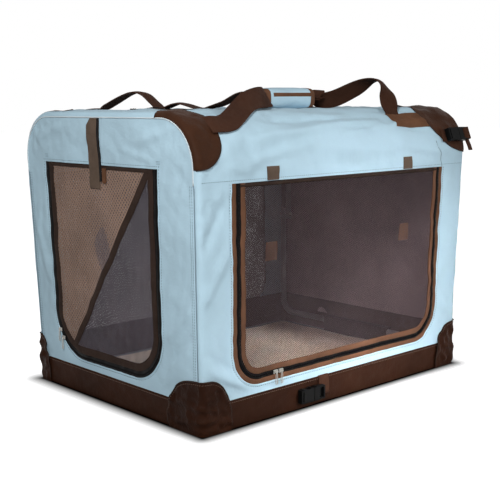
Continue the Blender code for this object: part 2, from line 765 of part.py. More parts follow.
# Webbing
def smooth_path(points, steps=WEB_STEPS):
    # Catmull-Rom through rows of numbers.
    rows = [Vector(p) for p in points]
    rows = [rows[0] * 2 - rows[1], *rows, rows[-1] * 2 - rows[-2]]
    out = []
    for a, b, c, d in zip(rows, rows[1:], rows[2:], rows[3:]):
        for i in range(steps):
            t = i / steps
            out.append(
                (b * 2 + (c - a) * t + (a * 2 - b * 5 + c * 4 - d) * t**2
                 + (b * 3 - a - c * 3 + d) * t**3) / 2
            )
    out.append(rows[-2])
    return out


def ribbon(name, points, angles, width=WEB_WIDTH, thickness=WEB_THICKNESS):
    # A strip along a path. Each angle turns the strip from lying flat (0) to standing on edge (90).
    path = smooth_path(points)
    turns = smooth_path([(a, 0, 0) for a in angles])
    work = bmesh.new()
    before = None
    for i, point in enumerate(path):
        ahead = path[min(i + 1, len(path) - 1)]
        behind = path[max(i - 1, 0)]
        along = (ahead - behind).normalized()
        flat = along.cross(Vector((0, 0, 1))).normalized()
        up = flat.cross(along).normalized()
        angle = math.radians(turns[i].x)
        side = (flat * math.cos(angle) + up * math.sin(angle)) * width / 2
        pair = [work.verts.new(point - side), work.verts.new(point + side)]
        if before:
            work.faces.new((before[0], before[1], pair[1], pair[0]))
        before = pair
    mesh = bpy.data.meshes.new(name)
    work.to_mesh(mesh)
    work.free()
    strip = link(name, mesh)
    thick = strip.modifiers.new("Thickness", "SOLIDIFY")
    thick.thickness = thickness
    thick.offset = 0
    bpy.context.view_layer.update()
    return bake(strip)


def on_roof_edge(x, side, share, lift=0.0):
    # A point just above the rounded roof edge; share runs from the side, 0, to the flat top, 1.
    angle = math.radians(90 * share)
    radius = ROOF_EDGE_RADIUS + GAP + WEB_THICKNESS + lift
    y = WIDTH / 2 - ROOF_EDGE_RADIUS + radius * math.cos(angle)
    z = HEIGHT - ROOF_EDGE_RADIUS + radius * math.sin(angle)
    return (x, side * y, z)


GRIP_Z = HEIGHT + GAP + GRIP_HEIGHT / 2
GRIP_ENDS = (GRIP_X - GRIP_LENGTH / 2, GRIP_X + GRIP_LENGTH / 2)
# Rows of x and y as shares of the half length and half width, z as a share of the handle's rise
# above the roof, and the strip's turn in degrees.
FRONT_WEB_SHARES = (
    (-0.543, -0.781, -0.05, -5),
    (-0.471, -0.704, 0.20, 45),
    (-0.400, -0.615, 0.37, 80),
    (-0.340, -0.500, 0.35, 50),
    (-0.278, -0.385, 0.26, 0),
)
FRONT_WEB_RIGHT_SHARES = (
    (0.305, -0.375, 0.26, 0),
    (0.368, -0.440, 0.36, 50),
    (0.428, -0.520, 0.58, 62),
    (0.474, -0.635, 0.86, 30),
    (0.503, -0.731, 0.62, 10),
    (0.530, -0.815, 0.10, 0),
)
BACK_WEB_SHARES = (
    (-0.586, 0.769, 0.15, 20),
    (-0.514, 0.673, 0.45, 10),
    (-0.443, 0.577, 0.55, 0),
    (-0.377, 0.454, 0.38, 0),
    (-0.331, 0.300, 0.14, 0),
    (-0.317, 0.115, 0.19, 0),
    (-0.316, -0.060, 0.20, 0),
    (-0.305, -0.200, 0.34, 0),
    (-0.262, -0.300, 0.56, 0),
)
BACK_WEB_RIGHT_SHARES = (
    (0.287, -0.300, 0.56, 0),
    (0.330, -0.195, 0.34, 0),
    (0.343, -0.060, 0.21, 0),
    (0.360, 0.120, 0.15, 0),
    (0.395, 0.330, 0.18, 0),
    (0.440, 0.520, 0.38, 5),
    (0.500, 0.680, 0.42, 12),
)
HANDLE_RISE = 0.060
WEB_EDGE_SHARES = (0.55, 0.58)
WEB_EDGE_RUN = 0.034
WEB_LIFT = 0.0010
WEB_ENTRY = 0.012
WEB_GRIP_SHARES = (-0.5, -0.25, 0, 0.25, 0.5)


def web_row(row):
    return Vector(
        (row[0] * LENGTH / 2, row[1] * WIDTH / 2, HEIGHT + row[2] * HANDLE_RISE + WEB_THICKNESS)
    )


def make_strap(name, side, left, right, stack, handle):
    # One strap from its left corner patch, through the grip, to its right corner patch.
    low, high = WEB_EDGE_SHARES
    left_x = -LENGTH / 2 + TOP_PATCH_LEFT + WEB_LIFT
    right_x = LENGTH / 2 - TOP_PATCH_RIGHT - WEB_LIFT
    tilt = side * (90 - 90 * low)
    soft = side * (90 - 90 * high)
    level = GRIP_Z + stack
    rows = [
        (Vector(on_roof_edge(left_x, side, low, WEB_LIFT)), tilt),
        (Vector(on_roof_edge(left_x + WEB_EDGE_RUN, side, high, WEB_LIFT)), soft),
    ]
    rows += [(web_row(row), row[3]) for row in left]
    inside = [GRIP_X + GRIP_LENGTH * share for share in WEB_GRIP_SHARES]
    entry = (GRIP_ENDS[0] - WEB_ENTRY, *inside, GRIP_ENDS[1] + WEB_ENTRY)
    rows += [(Vector((x, GRIP_Y, level)), 0) for x in entry]
    rows += [(web_row(row), row[3]) for row in right]
    rows += [
        (Vector(on_roof_edge(right_x - WEB_EDGE_RUN, side, high, WEB_LIFT * 2)), soft),
        (Vector(on_roof_edge(right_x, side, low, WEB_LIFT)), tilt),
    ]
    strap = ribbon(name, [row[0] for row in rows], [row[1] for row in rows])
    return finish(strap, "brown", handle)


def make_handle(handle):
    # A padded wrap with a slot that both straps pass through.
    x, y, z = GRIP_LENGTH / 2, GRIP_WIDTH / 2, GRIP_HEIGHT / 2
    low = (GRIP_X - x, GRIP_Y - y, GRIP_Z - z)
    grip = box("handle_grip", low, (GRIP_X + x, GRIP_Y + y, GRIP_Z + z))
    work = bmesh.new()
    work.from_mesh(grip.data)
    along = [e for e in work.edges if abs(e.verts[0].co.x - e.verts[1].co.x) > GRIP_ROUND]
    bmesh.ops.bevel(work, geom=along, offset=GRIP_ROUND, segments=3, profile=ROUND_PROFILE_SHARE, affect="EDGES")
    bmesh.ops.recalc_face_normals(work, faces=work.faces)
    work.to_mesh(grip.data)
    work.free()
    y, z = GRIP_SLOT_WIDTH / 2, GRIP_SLOT_HEIGHT / 2
    low = (GRIP_X - LENGTH, GRIP_Y - y, GRIP_Z - z)
    slot = box("grip_slot", low, (GRIP_X + LENGTH, GRIP_Y + y, GRIP_Z + z))
    finish(combine(grip, slot), "cloth", handle)
    stack = STRAP_STACK / 2
    make_strap(
        "handle_strap_front", -1, FRONT_WEB_SHARES, FRONT_WEB_RIGHT_SHARES, -stack, handle
    )
    make_strap("handle_strap_back", 1, BACK_WEB_SHARES, BACK_WEB_RIGHT_SHARES, stack, handle)


def make_door_strap(strap):
    near = -LENGTH / 2 - GAP
    top = DOOR_STRAP_TOP
    low_y = DOOR_STRAP_Y - DOOR_STRAP_WIDTH / 2
    low = (near - WEB_THICKNESS, low_y, top - DOOR_STRAP_LENGTH)
    high = (near, low_y + DOOR_STRAP_WIDTH, top)
    finish(lean(box("left_door_strap", low, high)), "webbing", strap)
    low = (near - WEB_THICKNESS, low_y - GAP - HOOK_STRIP_WIDTH, top - DOOR_STRAP_LENGTH + TAB_WIDTH / 2)
    high = (near, low_y - GAP, top)
    finish(lean(box("left_door_hook_strip", low, high)), "coil", strap)


def make_hem_tabs(roof):
    near = -WIDTH / 2 - GAP
    for name, x in (("hem_tab_left", TAB_LEFT_X), ("hem_tab_right", TAB_RIGHT_X)):
        low = (x - TAB_WIDTH / 2, near - WEB_THICKNESS, CAP_LOW + WEB_THICKNESS)
        high = (x + TAB_WIDTH / 2, near, CAP_LOW + TAB_HEIGHT)
        finish(lean(box(name, low, high)), "webbing", roof)


# Zip sliders: local x runs along the zip, local z across it and local -y points away from the cloth
FACE_FRONT = Matrix.Identity(3)
FACE_LEFT = Matrix(((0, 1, 0), (-1, 0, 0), (0, 0, 1)))
FACE_ROOF = Matrix(((1, 0, 0), (0, 0, 1), (0, -1, 0)))
PIN_OUT = SLIDER_THICKNESS + PULL_EYE_RADIUS + GAP


def placed(obj, face, place):
    obj.data.transform(Matrix.Translation(place) @ face.to_4x4())
    obj.data.update()
    return obj


def make_slider(name, face, place, parent, with_pin=True):
    x, z = SLIDER_LENGTH / 2, SLIDER_WIDTH / 2
    slider = box(name, (-x, -SLIDER_THICKNESS, -z), (x, 0, z))
    if with_pin:
        # Two cheeks carry the pin that the pull's eye turns on.
        cheek = PIN_OUT + SLIDER_PIN_RADIUS + GAP
        for side in (-1, 1):
            near, far = sorted((side * x, side * (x - CHEEK_WIDTH)))
            low = (near, -cheek, -CHEEK_WIDTH)
            block = box(name + "_cheek", low, (far, -SLIDER_THICKNESS / 2, CHEEK_WIDTH))
            slider = combine(slider, block, "UNION")
        middle = x - CHEEK_WIDTH / 2
        pin = cylinder(
            name + "_pin", SLIDER_PIN_RADIUS, (-middle, -PIN_OUT, 0), (middle, -PIN_OUT, 0), 8
        )
        slider = combine(slider, pin, "UNION")
    return finish(placed(slider, face, place), "pull", parent)


def make_pull(name, face, place, parent):
    # The eye turns on the slider's pin and the flat tab hangs below it.
    half = PULL_WIDTH / 2
    front = -PIN_OUT - PULL_THICKNESS / 2
    low = (-half, front, -PULL_LENGTH)
    pull = box(name, low, (half, front + PULL_THICKNESS, 0))
    ring = cylinder(
        name + "_eye", PULL_EYE_RADIUS, (-half, -PIN_OUT, 0), (half, -PIN_OUT, 0), 12
    )
    pull = combine(pull, ring, "UNION")
    start, end = (-PULL_LENGTH, -PIN_OUT, 0), (PULL_LENGTH, -PIN_OUT, 0)
    hole = cylinder(name + "_bore", SLIDER_PIN_RADIUS + GAP, start, end, 12)
    return finish(placed(combine(pull, hole), face, place), "pull", parent)


def front_slider_place(x):
    z = DOOR_BOTTOM + COIL_OUT + COIL_WIDTH / 2
    return Vector(lean_point(x, -WIDTH / 2 - GAP, z))


def left_arc_centre():
    y = LEFT_DOOR_CENTRE_Y + LEFT_DOOR_HALF - LEFT_DOOR_RADIUS
    return (-LENGTH / 2 - GAP, y, DOOR_BOTTOM + LEFT_DOOR_RADIUS)


def left_slider_place(degrees):
    x, y, z = left_arc_centre()
    radius = LEFT_DOOR_RADIUS - GAP - COIL_WIDTH / 2
    angle = math.radians(degrees)
    return Vector(lean_point(x, y + radius * math.cos(angle), z + radius * math.sin(angle)))


def make_sliders(body, roof):
    for word, x in zip(("left", "right"), FRONT_SLIDER_X):
        place = front_slider_place(x)
        slide = pivot("front_slider_" + word + "_axis", place, body)
        make_slider("front_slider_" + word, FACE_FRONT, place, slide)
        turn = pivot("front_pull_" + word + "_axis", place + Vector((0, -PIN_OUT, 0)), slide)
        make_pull("front_pull_" + word, FACE_FRONT, place, turn)
    for word, degrees in zip(("upper", "lower"), LEFT_SLIDER_ANGLES):
        place = left_slider_place(degrees)
        swing = pivot("left_slider_" + word + "_axis", lean_point(*left_arc_centre()), body)
        make_slider("left_slider_" + word, FACE_LEFT, place, swing)
        turn = pivot("left_pull_" + word + "_axis", place + Vector((-PIN_OUT, 0, 0)), swing)
        make_pull("left_pull_" + word, FACE_LEFT, place, turn)
    top = HEIGHT + GAP
    low = (-ROOF_ZIP_HALF, ROOF_ZIP_Y - COIL_WIDTH / 2, top)
    high = (ROOF_ZIP_HALF, ROOF_ZIP_Y + COIL_WIDTH / 2, top + TAPE_THICKNESS)
    finish(box("roof_zip_coil", low, high), "coil", roof)
    place = Vector((ROOF_SLIDER_X, ROOF_ZIP_Y, top + TAPE_THICKNESS + GAP))
    slide = pivot("roof_slider_axis", place, roof)
    make_slider("roof_slider", FACE_ROOF, place, slide, with_pin=False)


# Buckles: the same local axes as the sliders
def make_buckle(prefix, matrix, web_low, web_high, body):
    web = box(prefix + "_webbing", web_low, web_high)
    web.data.transform(matrix)
    finish(web, "webbing", body)
    near = -WEB_THICKNESS - GAP
    z = BUCKLE_HEIGHT / 2
    low = (-BUCKLE_WIDTH, near - BUCKLE_THICKNESS, -z)
    socket = box(prefix + "_socket", low, (-GAP / 2, near, z))
    middle = near - BUCKLE_THICKNESS / 2
    half_y = PRONG_THICKNESS / 2
    for side in (-1, 1):
        across = side * PRONG_SPREAD
        slack = PRONG_CLEARANCE
        low = (-PRONG_LENGTH - slack, middle - half_y - slack, across - PRONG_WIDTH / 2 - slack)
        high = (PRONG_LENGTH, middle + half_y + slack, across + PRONG_WIDTH / 2 + slack)
        socket = combine(socket, box("slot", low, high))
    socket.data.transform(matrix)
    finish(socket, "plastic", body)
    low = (GAP / 2, near - BUCKLE_THICKNESS, -z)
    plug = box(prefix + "_plug", low, (BUCKLE_WIDTH - PRONG_WIDTH, near, z))
    for side in (-1, 1):
        across = side * PRONG_SPREAD
        low = (-PRONG_LENGTH, middle - half_y, across - PRONG_WIDTH / 2)
        high = (PRONG_WIDTH, middle + half_y, across + PRONG_WIDTH / 2)
        plug = combine(plug, box("prong", low, high), "UNION")
    plug.data.transform(matrix)
    slide = pivot(prefix + "_plug_axis", matrix.translation, body)
    finish(plug, "plastic", slide)


def make_buckles(body, roof):
    place = Vector(lean_point(BASE_BUCKLE_X, -WIDTH / 2 - GAP, BASE_BUCKLE_Z))
    tilt = Matrix.Rotation(math.atan(SIDE_LEAN / HEIGHT), 4, "X")
    matrix = Matrix.Translation(place) @ tilt
    half = BUCKLE_HEIGHT / 2
    web_low = (BASE_WEB_X, -WEB_THICKNESS, -half)
    web_high = (BASE_WEB_X + BUCKLE_WEB_WIDTH, 0, BUCKLE_WEB_WIDTH)
    make_buckle("base_buckle", matrix, web_low, web_high, body)
    # The top buckle lies flat on one facet of the rounded roof edge.
    spring = HEIGHT - ROOF_EDGE_RADIUS
    angle = math.radians(TOP_BUCKLE_ANGLE)
    facet = math.cos(math.radians(90 / ARC_STEPS / 2))
    radius = (ROOF_EDGE_RADIUS + PATCH_THICKNESS + GAP) * facet + GAP
    y = -(WIDTH / 2 - ROOF_EDGE_RADIUS + radius * math.cos(angle))
    place = Vector(lean_point(TOP_BUCKLE_X, y, spring + radius * math.sin(angle)))
    matrix = Matrix.Translation(place) @ tilt @ Matrix.Rotation(-angle, 4, "X")
    web_low = (-BUCKLE_WIDTH, -WEB_THICKNESS, -BUCKLE_WEB_WIDTH / 2)
    web_high = (BUCKLE_WIDTH, 0, BUCKLE_WEB_WIDTH / 2)
    make_buckle("top_buckle", matrix, web_low, web_high, roof)


def main():
    clear_scene()
    body = pivot("base_origin", (0, 0, 0))
    left_fold = pivot("left_fold_axis", (-FRAME_X, 0, BASE_HINGE_Z), body)
    left_knee = pivot("left_knee_axis", (-FRAME_X, 0, KNEE_Z), left_fold)
    roof = pivot("roof_axis", (-FRAME_X, 0, ROOF_HINGE_Z), left_knee)
    right_fold = pivot("right_fold_axis", (FRAME_X, 0, BASE_HINGE_Z), body)
    right_knee = pivot("right_knee_axis", (FRAME_X, 0, KNEE_Z), right_fold)
    handle = pivot("handle_axis", (GRIP_X, GRIP_Y, GRIP_Z), roof)
    front_hinge = lean_point(0, -WIDTH / 2 + CLOTH / 2, FRONT_DOOR_TOP)
    front_door = pivot("front_door_axis", front_hinge, roof)
    left_hinge = lean_point(-LENGTH / 2 + CLOTH / 2, LEFT_DOOR_CENTRE_Y, LEFT_DOOR_TOP)
    left_door = pivot("left_door_axis", left_hinge, roof)
    strap_hinge = lean_point(-LENGTH / 2 - GAP, DOOR_STRAP_Y, DOOR_STRAP_TOP)
    strap = pivot("door_strap_axis", strap_hinge, roof)
    make_tub(body)
    make_base_frame(body)
    make_mat(body)
    make_walls(body)
    make_windows(body)
    make_zips(body)
    make_bottom_patches(body)
    make_lower_frame("left_lower_frame", -1, left_fold)
    make_upper_frame("left_upper_frame", -1, left_knee)
    make_lower_frame("right_lower_frame", 1, right_fold)
    make_upper_frame("right_upper_frame", 1, right_knee)
    make_saddles(body, roof)
    make_roof_frame(roof)
    make_cap(roof)
    make_top_patches(roof)
    make_hem_tabs(roof)
    make_handle(handle)
    make_front_door(front_door)
    make_left_door(left_door)
    make_door_strap(strap)
    make_sliders(body, roof)
    make_buckles(body, roof)
    for obj in bpy.data.objects:
        if obj.type == "MESH":
            print(obj.name, len(obj.data.polygons))


main()
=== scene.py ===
# %% [markdown]
# # A soft folding dog crate
# The crate is a cloth box over a folding tube frame. Light blue panels are sewn to a dark brown
# base band, mesh doors close with long zips, and brown patches guard the eight corners.
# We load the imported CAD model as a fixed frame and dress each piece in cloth, webbing and metal.

# %% Load the frame
from functools import partial
import math
import bmesh
import bpy
import numpy as np
from mathutils import Matrix, Vector
from mathutils.bvhtree import BVHTree


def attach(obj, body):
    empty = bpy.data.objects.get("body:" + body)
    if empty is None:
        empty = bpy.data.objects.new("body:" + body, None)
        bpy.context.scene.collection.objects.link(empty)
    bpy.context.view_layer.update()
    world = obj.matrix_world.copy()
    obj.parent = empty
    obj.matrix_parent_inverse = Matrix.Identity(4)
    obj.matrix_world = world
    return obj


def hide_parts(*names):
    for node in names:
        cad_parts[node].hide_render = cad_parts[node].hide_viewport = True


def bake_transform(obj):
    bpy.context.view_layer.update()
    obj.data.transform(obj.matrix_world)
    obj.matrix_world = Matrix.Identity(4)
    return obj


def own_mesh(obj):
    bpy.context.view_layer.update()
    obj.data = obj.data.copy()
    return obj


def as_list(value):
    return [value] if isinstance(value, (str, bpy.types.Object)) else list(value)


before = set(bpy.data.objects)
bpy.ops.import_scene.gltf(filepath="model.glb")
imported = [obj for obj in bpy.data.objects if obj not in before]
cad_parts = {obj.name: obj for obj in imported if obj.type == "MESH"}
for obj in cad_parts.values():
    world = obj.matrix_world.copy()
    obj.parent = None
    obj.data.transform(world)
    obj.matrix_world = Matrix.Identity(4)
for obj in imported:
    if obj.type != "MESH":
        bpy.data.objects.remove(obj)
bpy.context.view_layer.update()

# %% [markdown]
# ## The body's sizes
# These are the same lengths as in the CAD source, in metres. The crate's length runs along X,
# its width along Y and its height along Z. Each wall leans in a little towards the floor.

# %% Sizes
LENGTH, WIDTH, HEIGHT = 0.700, 0.520, 0.523
END_LEAN, SIDE_LEAN = 0.015, 0.014
ROOF_ROUND, SEAM_ROUND = 0.090, 0.010
BAND_TOP, CAP_LOW, DOOR_LOW = 0.050, 0.409, 0.066
SPRING = HEIGHT - ROOF_ROUND
FLAT_HALF = WIDTH / 2 - ROOF_ROUND
WALL_HALF = LENGTH / 2 - SEAM_ROUND
END_HALF = WIDTH / 2 - SEAM_ROUND
TURN = SEAM_ROUND * math.pi / 2
WALL_REACH = WALL_HALF + TURN
SIDE_RISE = SPRING - CAP_LOW
ROOF_ARC = ROOF_ROUND * math.pi / 2
ROOF_SPAN = 2 * (SIDE_RISE + ROOF_ARC + FLAT_HALF)
print("cloth over the roof, hem to hem:", round(ROOF_SPAN, 3), "m")

# %% [markdown]
# ## Laying cloth on the body
# Every sewn piece follows the body, so each face of the body gets a function that turns flat
# cloth coordinates into a place in space, with a height above the cloth. The same function
# carries the soft ripples, so tapes, stitches and patches ride up and down with the cloth.


# %% Ripples
def lean(points):
    down = 1 - points[..., 2] / HEIGHT
    out = points.copy()
    out[..., 0] *= 1 - END_LEAN * down / (LENGTH / 2)
    out[..., 1] *= 1 - SIDE_LEAN * down / (WIDTH / 2)
    return out


def ripple(a, b, seed, shortest, longest, count=14):
    # A sum of plain waves in seeded directions, about -1 to 1 high.
    rng = np.random.default_rng(seed)
    total = np.zeros(np.broadcast(a, b).shape)
    for _ in range(count):
        length = rng.uniform(shortest, longest)
        angle, phase = rng.uniform(0, math.pi), rng.uniform(0, 2 * math.pi)
        wave = (a * math.cos(angle) + b * math.sin(angle)) * 2 * math.pi / length
        total = total + np.sin(wave + phase)
    return total / math.sqrt(count)


def near_line(a, b, start, end, width):
    # 1 on the line from start to end, falling softly to 0 beside it and at its ends.
    du, dv = end[0] - start[0], end[1] - start[1]
    size = math.hypot(du, dv)
    along = ((a - start[0]) * du + (b - start[1]) * dv) / size
    across = ((a - start[0]) * -dv + (b - start[1]) * du) / size
    ends = np.clip(along / size, 0, 1) * np.clip(1 - along / size, 0, 1) * 4
    return np.exp(-((across / width) ** 2)) * np.sqrt(np.clip(ends, 0, 1))


def folds(a, b, lines):
    total = np.zeros(np.broadcast(a, b).shape)
    for *line, width, height in np.array(lines) / 1000:
        total = total + height * near_line(a, b, line[:2], line[2:], width)
    return total


def ease(value, low, high):
    t = np.clip((value - low) / (high - low), 0, 1)
    return t * t * (3 - 2 * t)


def hill(value, low, level, edge, high):
    # Rises from low to level and falls again from edge to high.
    return ease(value, low, level) * (1 - ease(value, edge, high))


def crown(share, power=2.0):
    # A rounded strip seen end on: 1 in its middle and 0 at the shares -1 and 1.
    return np.sqrt(np.clip(1 - np.abs(share) ** power, 0, 1))


# %% [markdown]
# Folds show where cloth is pulled between a seam and a corner of the frame. Each one is a
# start, an end, a half width and a height, in millimetres in the flat coordinates of its panel.

# %% Folds of each panel
FRONT_SEEDS, END_SEEDS, ROOF_SEEDS = (11, 31), (51, 71), (91, 97)
FRONT_FOLDS = (
    (-350, 115, -262, 72, 6.3, 3.6), (-345, 140, -270, 96, 5.4, -2.8),
    (-330, 105, -235, 56, 5.4, 3.2), (-350, 210, -285, 300, 10.8, 3.2),
    (-340, 300, -290, 390, 9, -2.8), (345, 90, 283, 150, 9, 2.8),
    (340, 330, 290, 390, 10.8, 2.8),
)
ROOF_FOLDS = (
    (-235, 70, 60, 98, 8, 5.9), (-180, 108, 140, 116, 7.2, -5.4),
    (0, 74, 270, 100, 6.4, 5.7), (-40, 90, 120, 84, 4.8, -3.5),
    (120, 88, 250, 74, 4.8, -3.8), (-250, 30, -60, 62, 7.2, 3.8),
    (-100, 52, 160, 36, 8, 3.2), (120, 50, 290, 24, 6.4, 3.2),
    (-285, 100, -130, 150, 7.2, 4.1), (100, 150, 260, 135, 7.2, 4.1),
    (-290, 30, -225, 10, 4.8, 2.4), (-270, 60, -180, 20, 4.8, -1.9),
    (225, 62, 310, 14, 4.8, -2.4), (-220, 560, 150, 590, 10.4, 4.9),
    (-80, 610, 240, 575, 8.8, 4.3), (50, 540, 270, 530, 8, -4.3),
)
END_FOLDS = (
    (-245, 215, -172, 148, 7.2, 3.6), (-240, 170, -180, 112, 6.3, -2.9),
    (-235, 145, -165, 80, 5.4, 3.2), (-230, 120, -150, 60, 5.4, 2.5),
    (-205, 500, -100, 470, 9, 3.6), (215, 470, 120, 500, 9, 3.2),
    (-160, 440, -50, 462, 6.3, 2.2), (240, 330, 200, 200, 10.8, 3.2),
)


def pinch(distance, z):
    # The corner seam draws the cloth in where the long wall is sewn to the end.
    near = np.exp(-((distance / 0.0022) ** 2))
    return 0.0014 * near * hill(z, BAND_TOP, BAND_TOP + 0.004, CAP_LOW - 0.004, CAP_LOW)


def wall_height(side, a, z):
    # Ripples of the long walls, flat at the band, the roof hem and the corner seams.
    calm = hill(z, BAND_TOP, BAND_TOP + 0.030, CAP_LOW - 0.022, CAP_LOW)
    calm = calm * (1 - ease(np.abs(a), WALL_HALF - 0.006, WALL_REACH))
    broad, fine = (seed + side for seed in FRONT_SEEDS)
    soft = 0.0013 * ripple(a, z, broad, 0.045, 0.130) + 0.0006 * ripple(a, z, fine, 0.018, 0.040)
    return calm * (soft + folds(a, z, FRONT_FOLDS)) - pinch(WALL_REACH - np.abs(a), z)


def end_height(end, y, z):
    calm = ease(z, BAND_TOP, BAND_TOP + 0.030) * (1 - ease(np.abs(y), END_HALF - 0.022, END_HALF - 0.002))
    calm = calm * ease(HEIGHT - SEAM_ROUND - z, 0.002, 0.024)
    broad, fine = (seed + end for seed in END_SEEDS)
    soft = 0.0009 * ripple(y, z, broad, 0.055, 0.150) + 0.0004 * ripple(y, z, fine, 0.018, 0.045)
    return calm * (soft + folds(y, z, END_FOLDS)) - pinch(END_HALF - np.abs(y), z)


def roof_height(x, s):
    calm = hill(s, 0.002, 0.024, ROOF_SPAN - 0.024, ROOF_SPAN - 0.002)
    calm = calm * (1 - ease(np.abs(x), WALL_HALF - 0.026, WALL_HALF))
    broad, fine = ROOF_SEEDS
    soft = 0.0020 * ripple(x, s * 1.5, broad, 0.070, 0.190) + 0.0009 * ripple(x * 0.7, s, fine, 0.022, 0.060)
    # The cloth rides over the hinge plate at each end.
    plate = hill(np.abs(x), 0.284, 0.294, 0.314, 0.324) * (1 - ease(np.abs(s - ROOF_SPAN / 2), 0.030, 0.045))
    return calm * (soft + folds(x, s, ROOF_FOLDS)) + 0.0016 * plate


# %% [markdown]
# ## Places on the body
# A long wall is flat and turns the corner at each end with a small radius. The roof climbs from
# its hem, rolls over the rounded edge and comes down the back.


# %% Place functions
def same_shape(*values):
    return [np.array(value, float) for value in np.broadcast_arrays(*values)]


def on_wall(side, a, z, out=0.0):
    # side is -1 for the front and 1 for the back; a runs along X and on round the corner.
    a, z, out = same_shape(a, z, out)
    angle = np.clip((np.abs(a) - WALL_HALF) / SEAM_ROUND, 0, math.pi / 2)
    radius = SEAM_ROUND + (out + wall_height(side, a, z))
    straight = np.clip(np.abs(a), 0, WALL_HALF)
    past = np.clip(np.abs(a) - WALL_REACH, 0, None)
    x = np.sign(a) * (straight + radius * np.sin(angle))
    y = side * (END_HALF + radius * np.cos(angle) - past)
    return lean(np.stack([x, y, z], axis=-1))


def on_end(end, y, z, out=0.0):
    y, z, out = same_shape(y, z, out)
    out = out + end_height(end, y, z)
    return lean(np.stack([end * (LENGTH / 2 + out), y, z], axis=-1))


def roof_profile(s):
    # The centre line of the seam rounding and its outward direction, at a length s from the hem.
    arc_end = SIDE_RISE + ROOF_ARC
    flat_end = arc_end + 2 * FLAT_HALF
    first = np.clip((s - SIDE_RISE) / ROOF_ROUND, 0, math.pi / 2)
    second = np.clip((s - flat_end) / ROOF_ROUND, 0, math.pi / 2)
    angle = first + second
    across, up = -np.cos(angle), np.sin(angle)
    flat = np.clip(s - arc_end, 0, 2 * FLAT_HALF)
    y = -FLAT_HALF + flat + ROOF_ROUND * across
    rise = np.clip(s, None, SIDE_RISE) - SIDE_RISE
    drop = np.clip(s - flat_end - ROOF_ARC, 0, None)
    z = SPRING + ROOF_ROUND * up + rise - drop
    return y, z, across, up


def on_roof(x, s, out=0.0):
    # x runs along the crate and on round the end seam; s runs from the front hem to the back hem.
    x, s, out = same_shape(x, s, out)
    radius = SEAM_ROUND + (out + roof_height(x, s))
    y, z, across, up = roof_profile(s)
    angle = np.clip((np.abs(x) - WALL_HALF) / SEAM_ROUND, 0, math.pi / 2)
    straight = np.clip(np.abs(x), 0, WALL_HALF)
    push = radius * np.cos(angle) - SEAM_ROUND
    place = [np.sign(x) * (straight + radius * np.sin(angle)), y + across * push, z + up * push]
    return lean(np.stack(place, axis=-1))


def on_corner(end, side, c, z, out=0.0):
    # c is 0 on the corner, grows along the long wall and falls along the end.
    c, z, out = same_shape(c, z, out)
    wall = on_wall(side, end * (WALL_REACH - TURN / 2 - c), z, out)
    end_place = on_end(end, side * (END_HALF + TURN / 2 + c), z, out)
    return np.where((c < -TURN / 2)[..., None], end_place, wall)


def roof_front(x, z, out=0.0):
    return on_roof(x, np.asarray(z) - CAP_LOW, out)


front_place, back_place = partial(on_wall, -1), partial(on_wall, 1)
left_place, right_place = partial(on_end, -1), partial(on_end, 1)


# %% [markdown]
# ## Making meshes
# A piece of cloth is one or more grids of points that are stitched where they meet. The grids
# keep a UV map in metres, so a weave has its true size on every piece.


# %% Mesh helpers
def new_object(name, mesh):
    made = bpy.data.objects.new(name, mesh)
    bpy.context.scene.collection.objects.link(made)
    return made


def mesh_from(name, work):
    mesh = bpy.data.meshes.new(name)
    work.to_mesh(mesh)
    work.free()
    return mesh


def join_meshes(name, meshes, matrix=Matrix.Identity(4)):
    work = bmesh.new()
    for mesh in meshes:
        work.from_mesh(mesh)
    bmesh.ops.transform(work, matrix=matrix, verts=work.verts)
    return mesh_from(name, work)


def uv_grid(u, v):
    return np.stack(np.broadcast_arrays(u, v), axis=-1).astype(float)


def laid(place, a, z, out=0.0):
    # A grid of cloth on the body, with its flat coordinates as the UV map.
    return place(a, z, out), uv_grid(a, z)


def flat_grid(a, z, columns, rows):
    # Coordinates of a rectangle: a and z are its two ends each way.
    return np.meshgrid(np.linspace(*a, columns), np.linspace(*z, rows))


def cloth_mesh(name, grids, centre=(0, 0, 0.26), weld=1e-5, outward=True):
    # Each grid is (points[n, m, 3], uv[n, m, 2]).
    work = bmesh.new()
    layer = work.loops.layers.uv.new("cloth")
    for points, uv in grids:
        rows, columns = points.shape[:2]
        verts = [[work.verts.new(points[i, j]) for j in range(columns)] for i in range(rows)]
        for i in range(rows - 1):
            for j in range(columns - 1):
                corners = ((i, j), (i + 1, j), (i + 1, j + 1), (i, j + 1))
                face = work.faces.new([verts[p][q] for p, q in corners])
                face.smooth = True
                for loop, (p, q) in zip(face.loops, corners):
                    loop[layer].uv = uv[p, q]
    bmesh.ops.remove_doubles(work, verts=work.verts, dist=weld)
    bmesh.ops.dissolve_degenerate(work, dist=weld / 2, edges=work.edges)
    bmesh.ops.recalc_face_normals(work, faces=work.faces)
    if outward:
        middle = Vector(centre)
        lift = sum(f.normal.dot(f.calc_center_median() - middle) * f.calc_area() for f in work.faces)
        if lift < 0:
            bmesh.ops.reverse_faces(work, faces=work.faces)
    return mesh_from(name, work)


def applied(obj):
    # Turns the modifiers into plain mesh.
    graph = bpy.context.evaluated_depsgraph_get()
    graph.update()
    mesh = bpy.data.meshes.new_from_object(obj.evaluated_get(graph), depsgraph=graph)
    obj.modifiers.clear()
    obj.data = mesh
    return obj


def thicken(obj, thickness, offset=-1.0):
    solid = obj.modifiers.new("Thickness", "SOLIDIFY")
    solid.thickness, solid.offset, solid.use_even_offset = thickness, offset, False
    applied(obj)
    obj.data.set_sharp_from_angle(angle=math.radians(50))


def cloth_area(mesh):
    return sum(face.area for face in mesh.polygons)


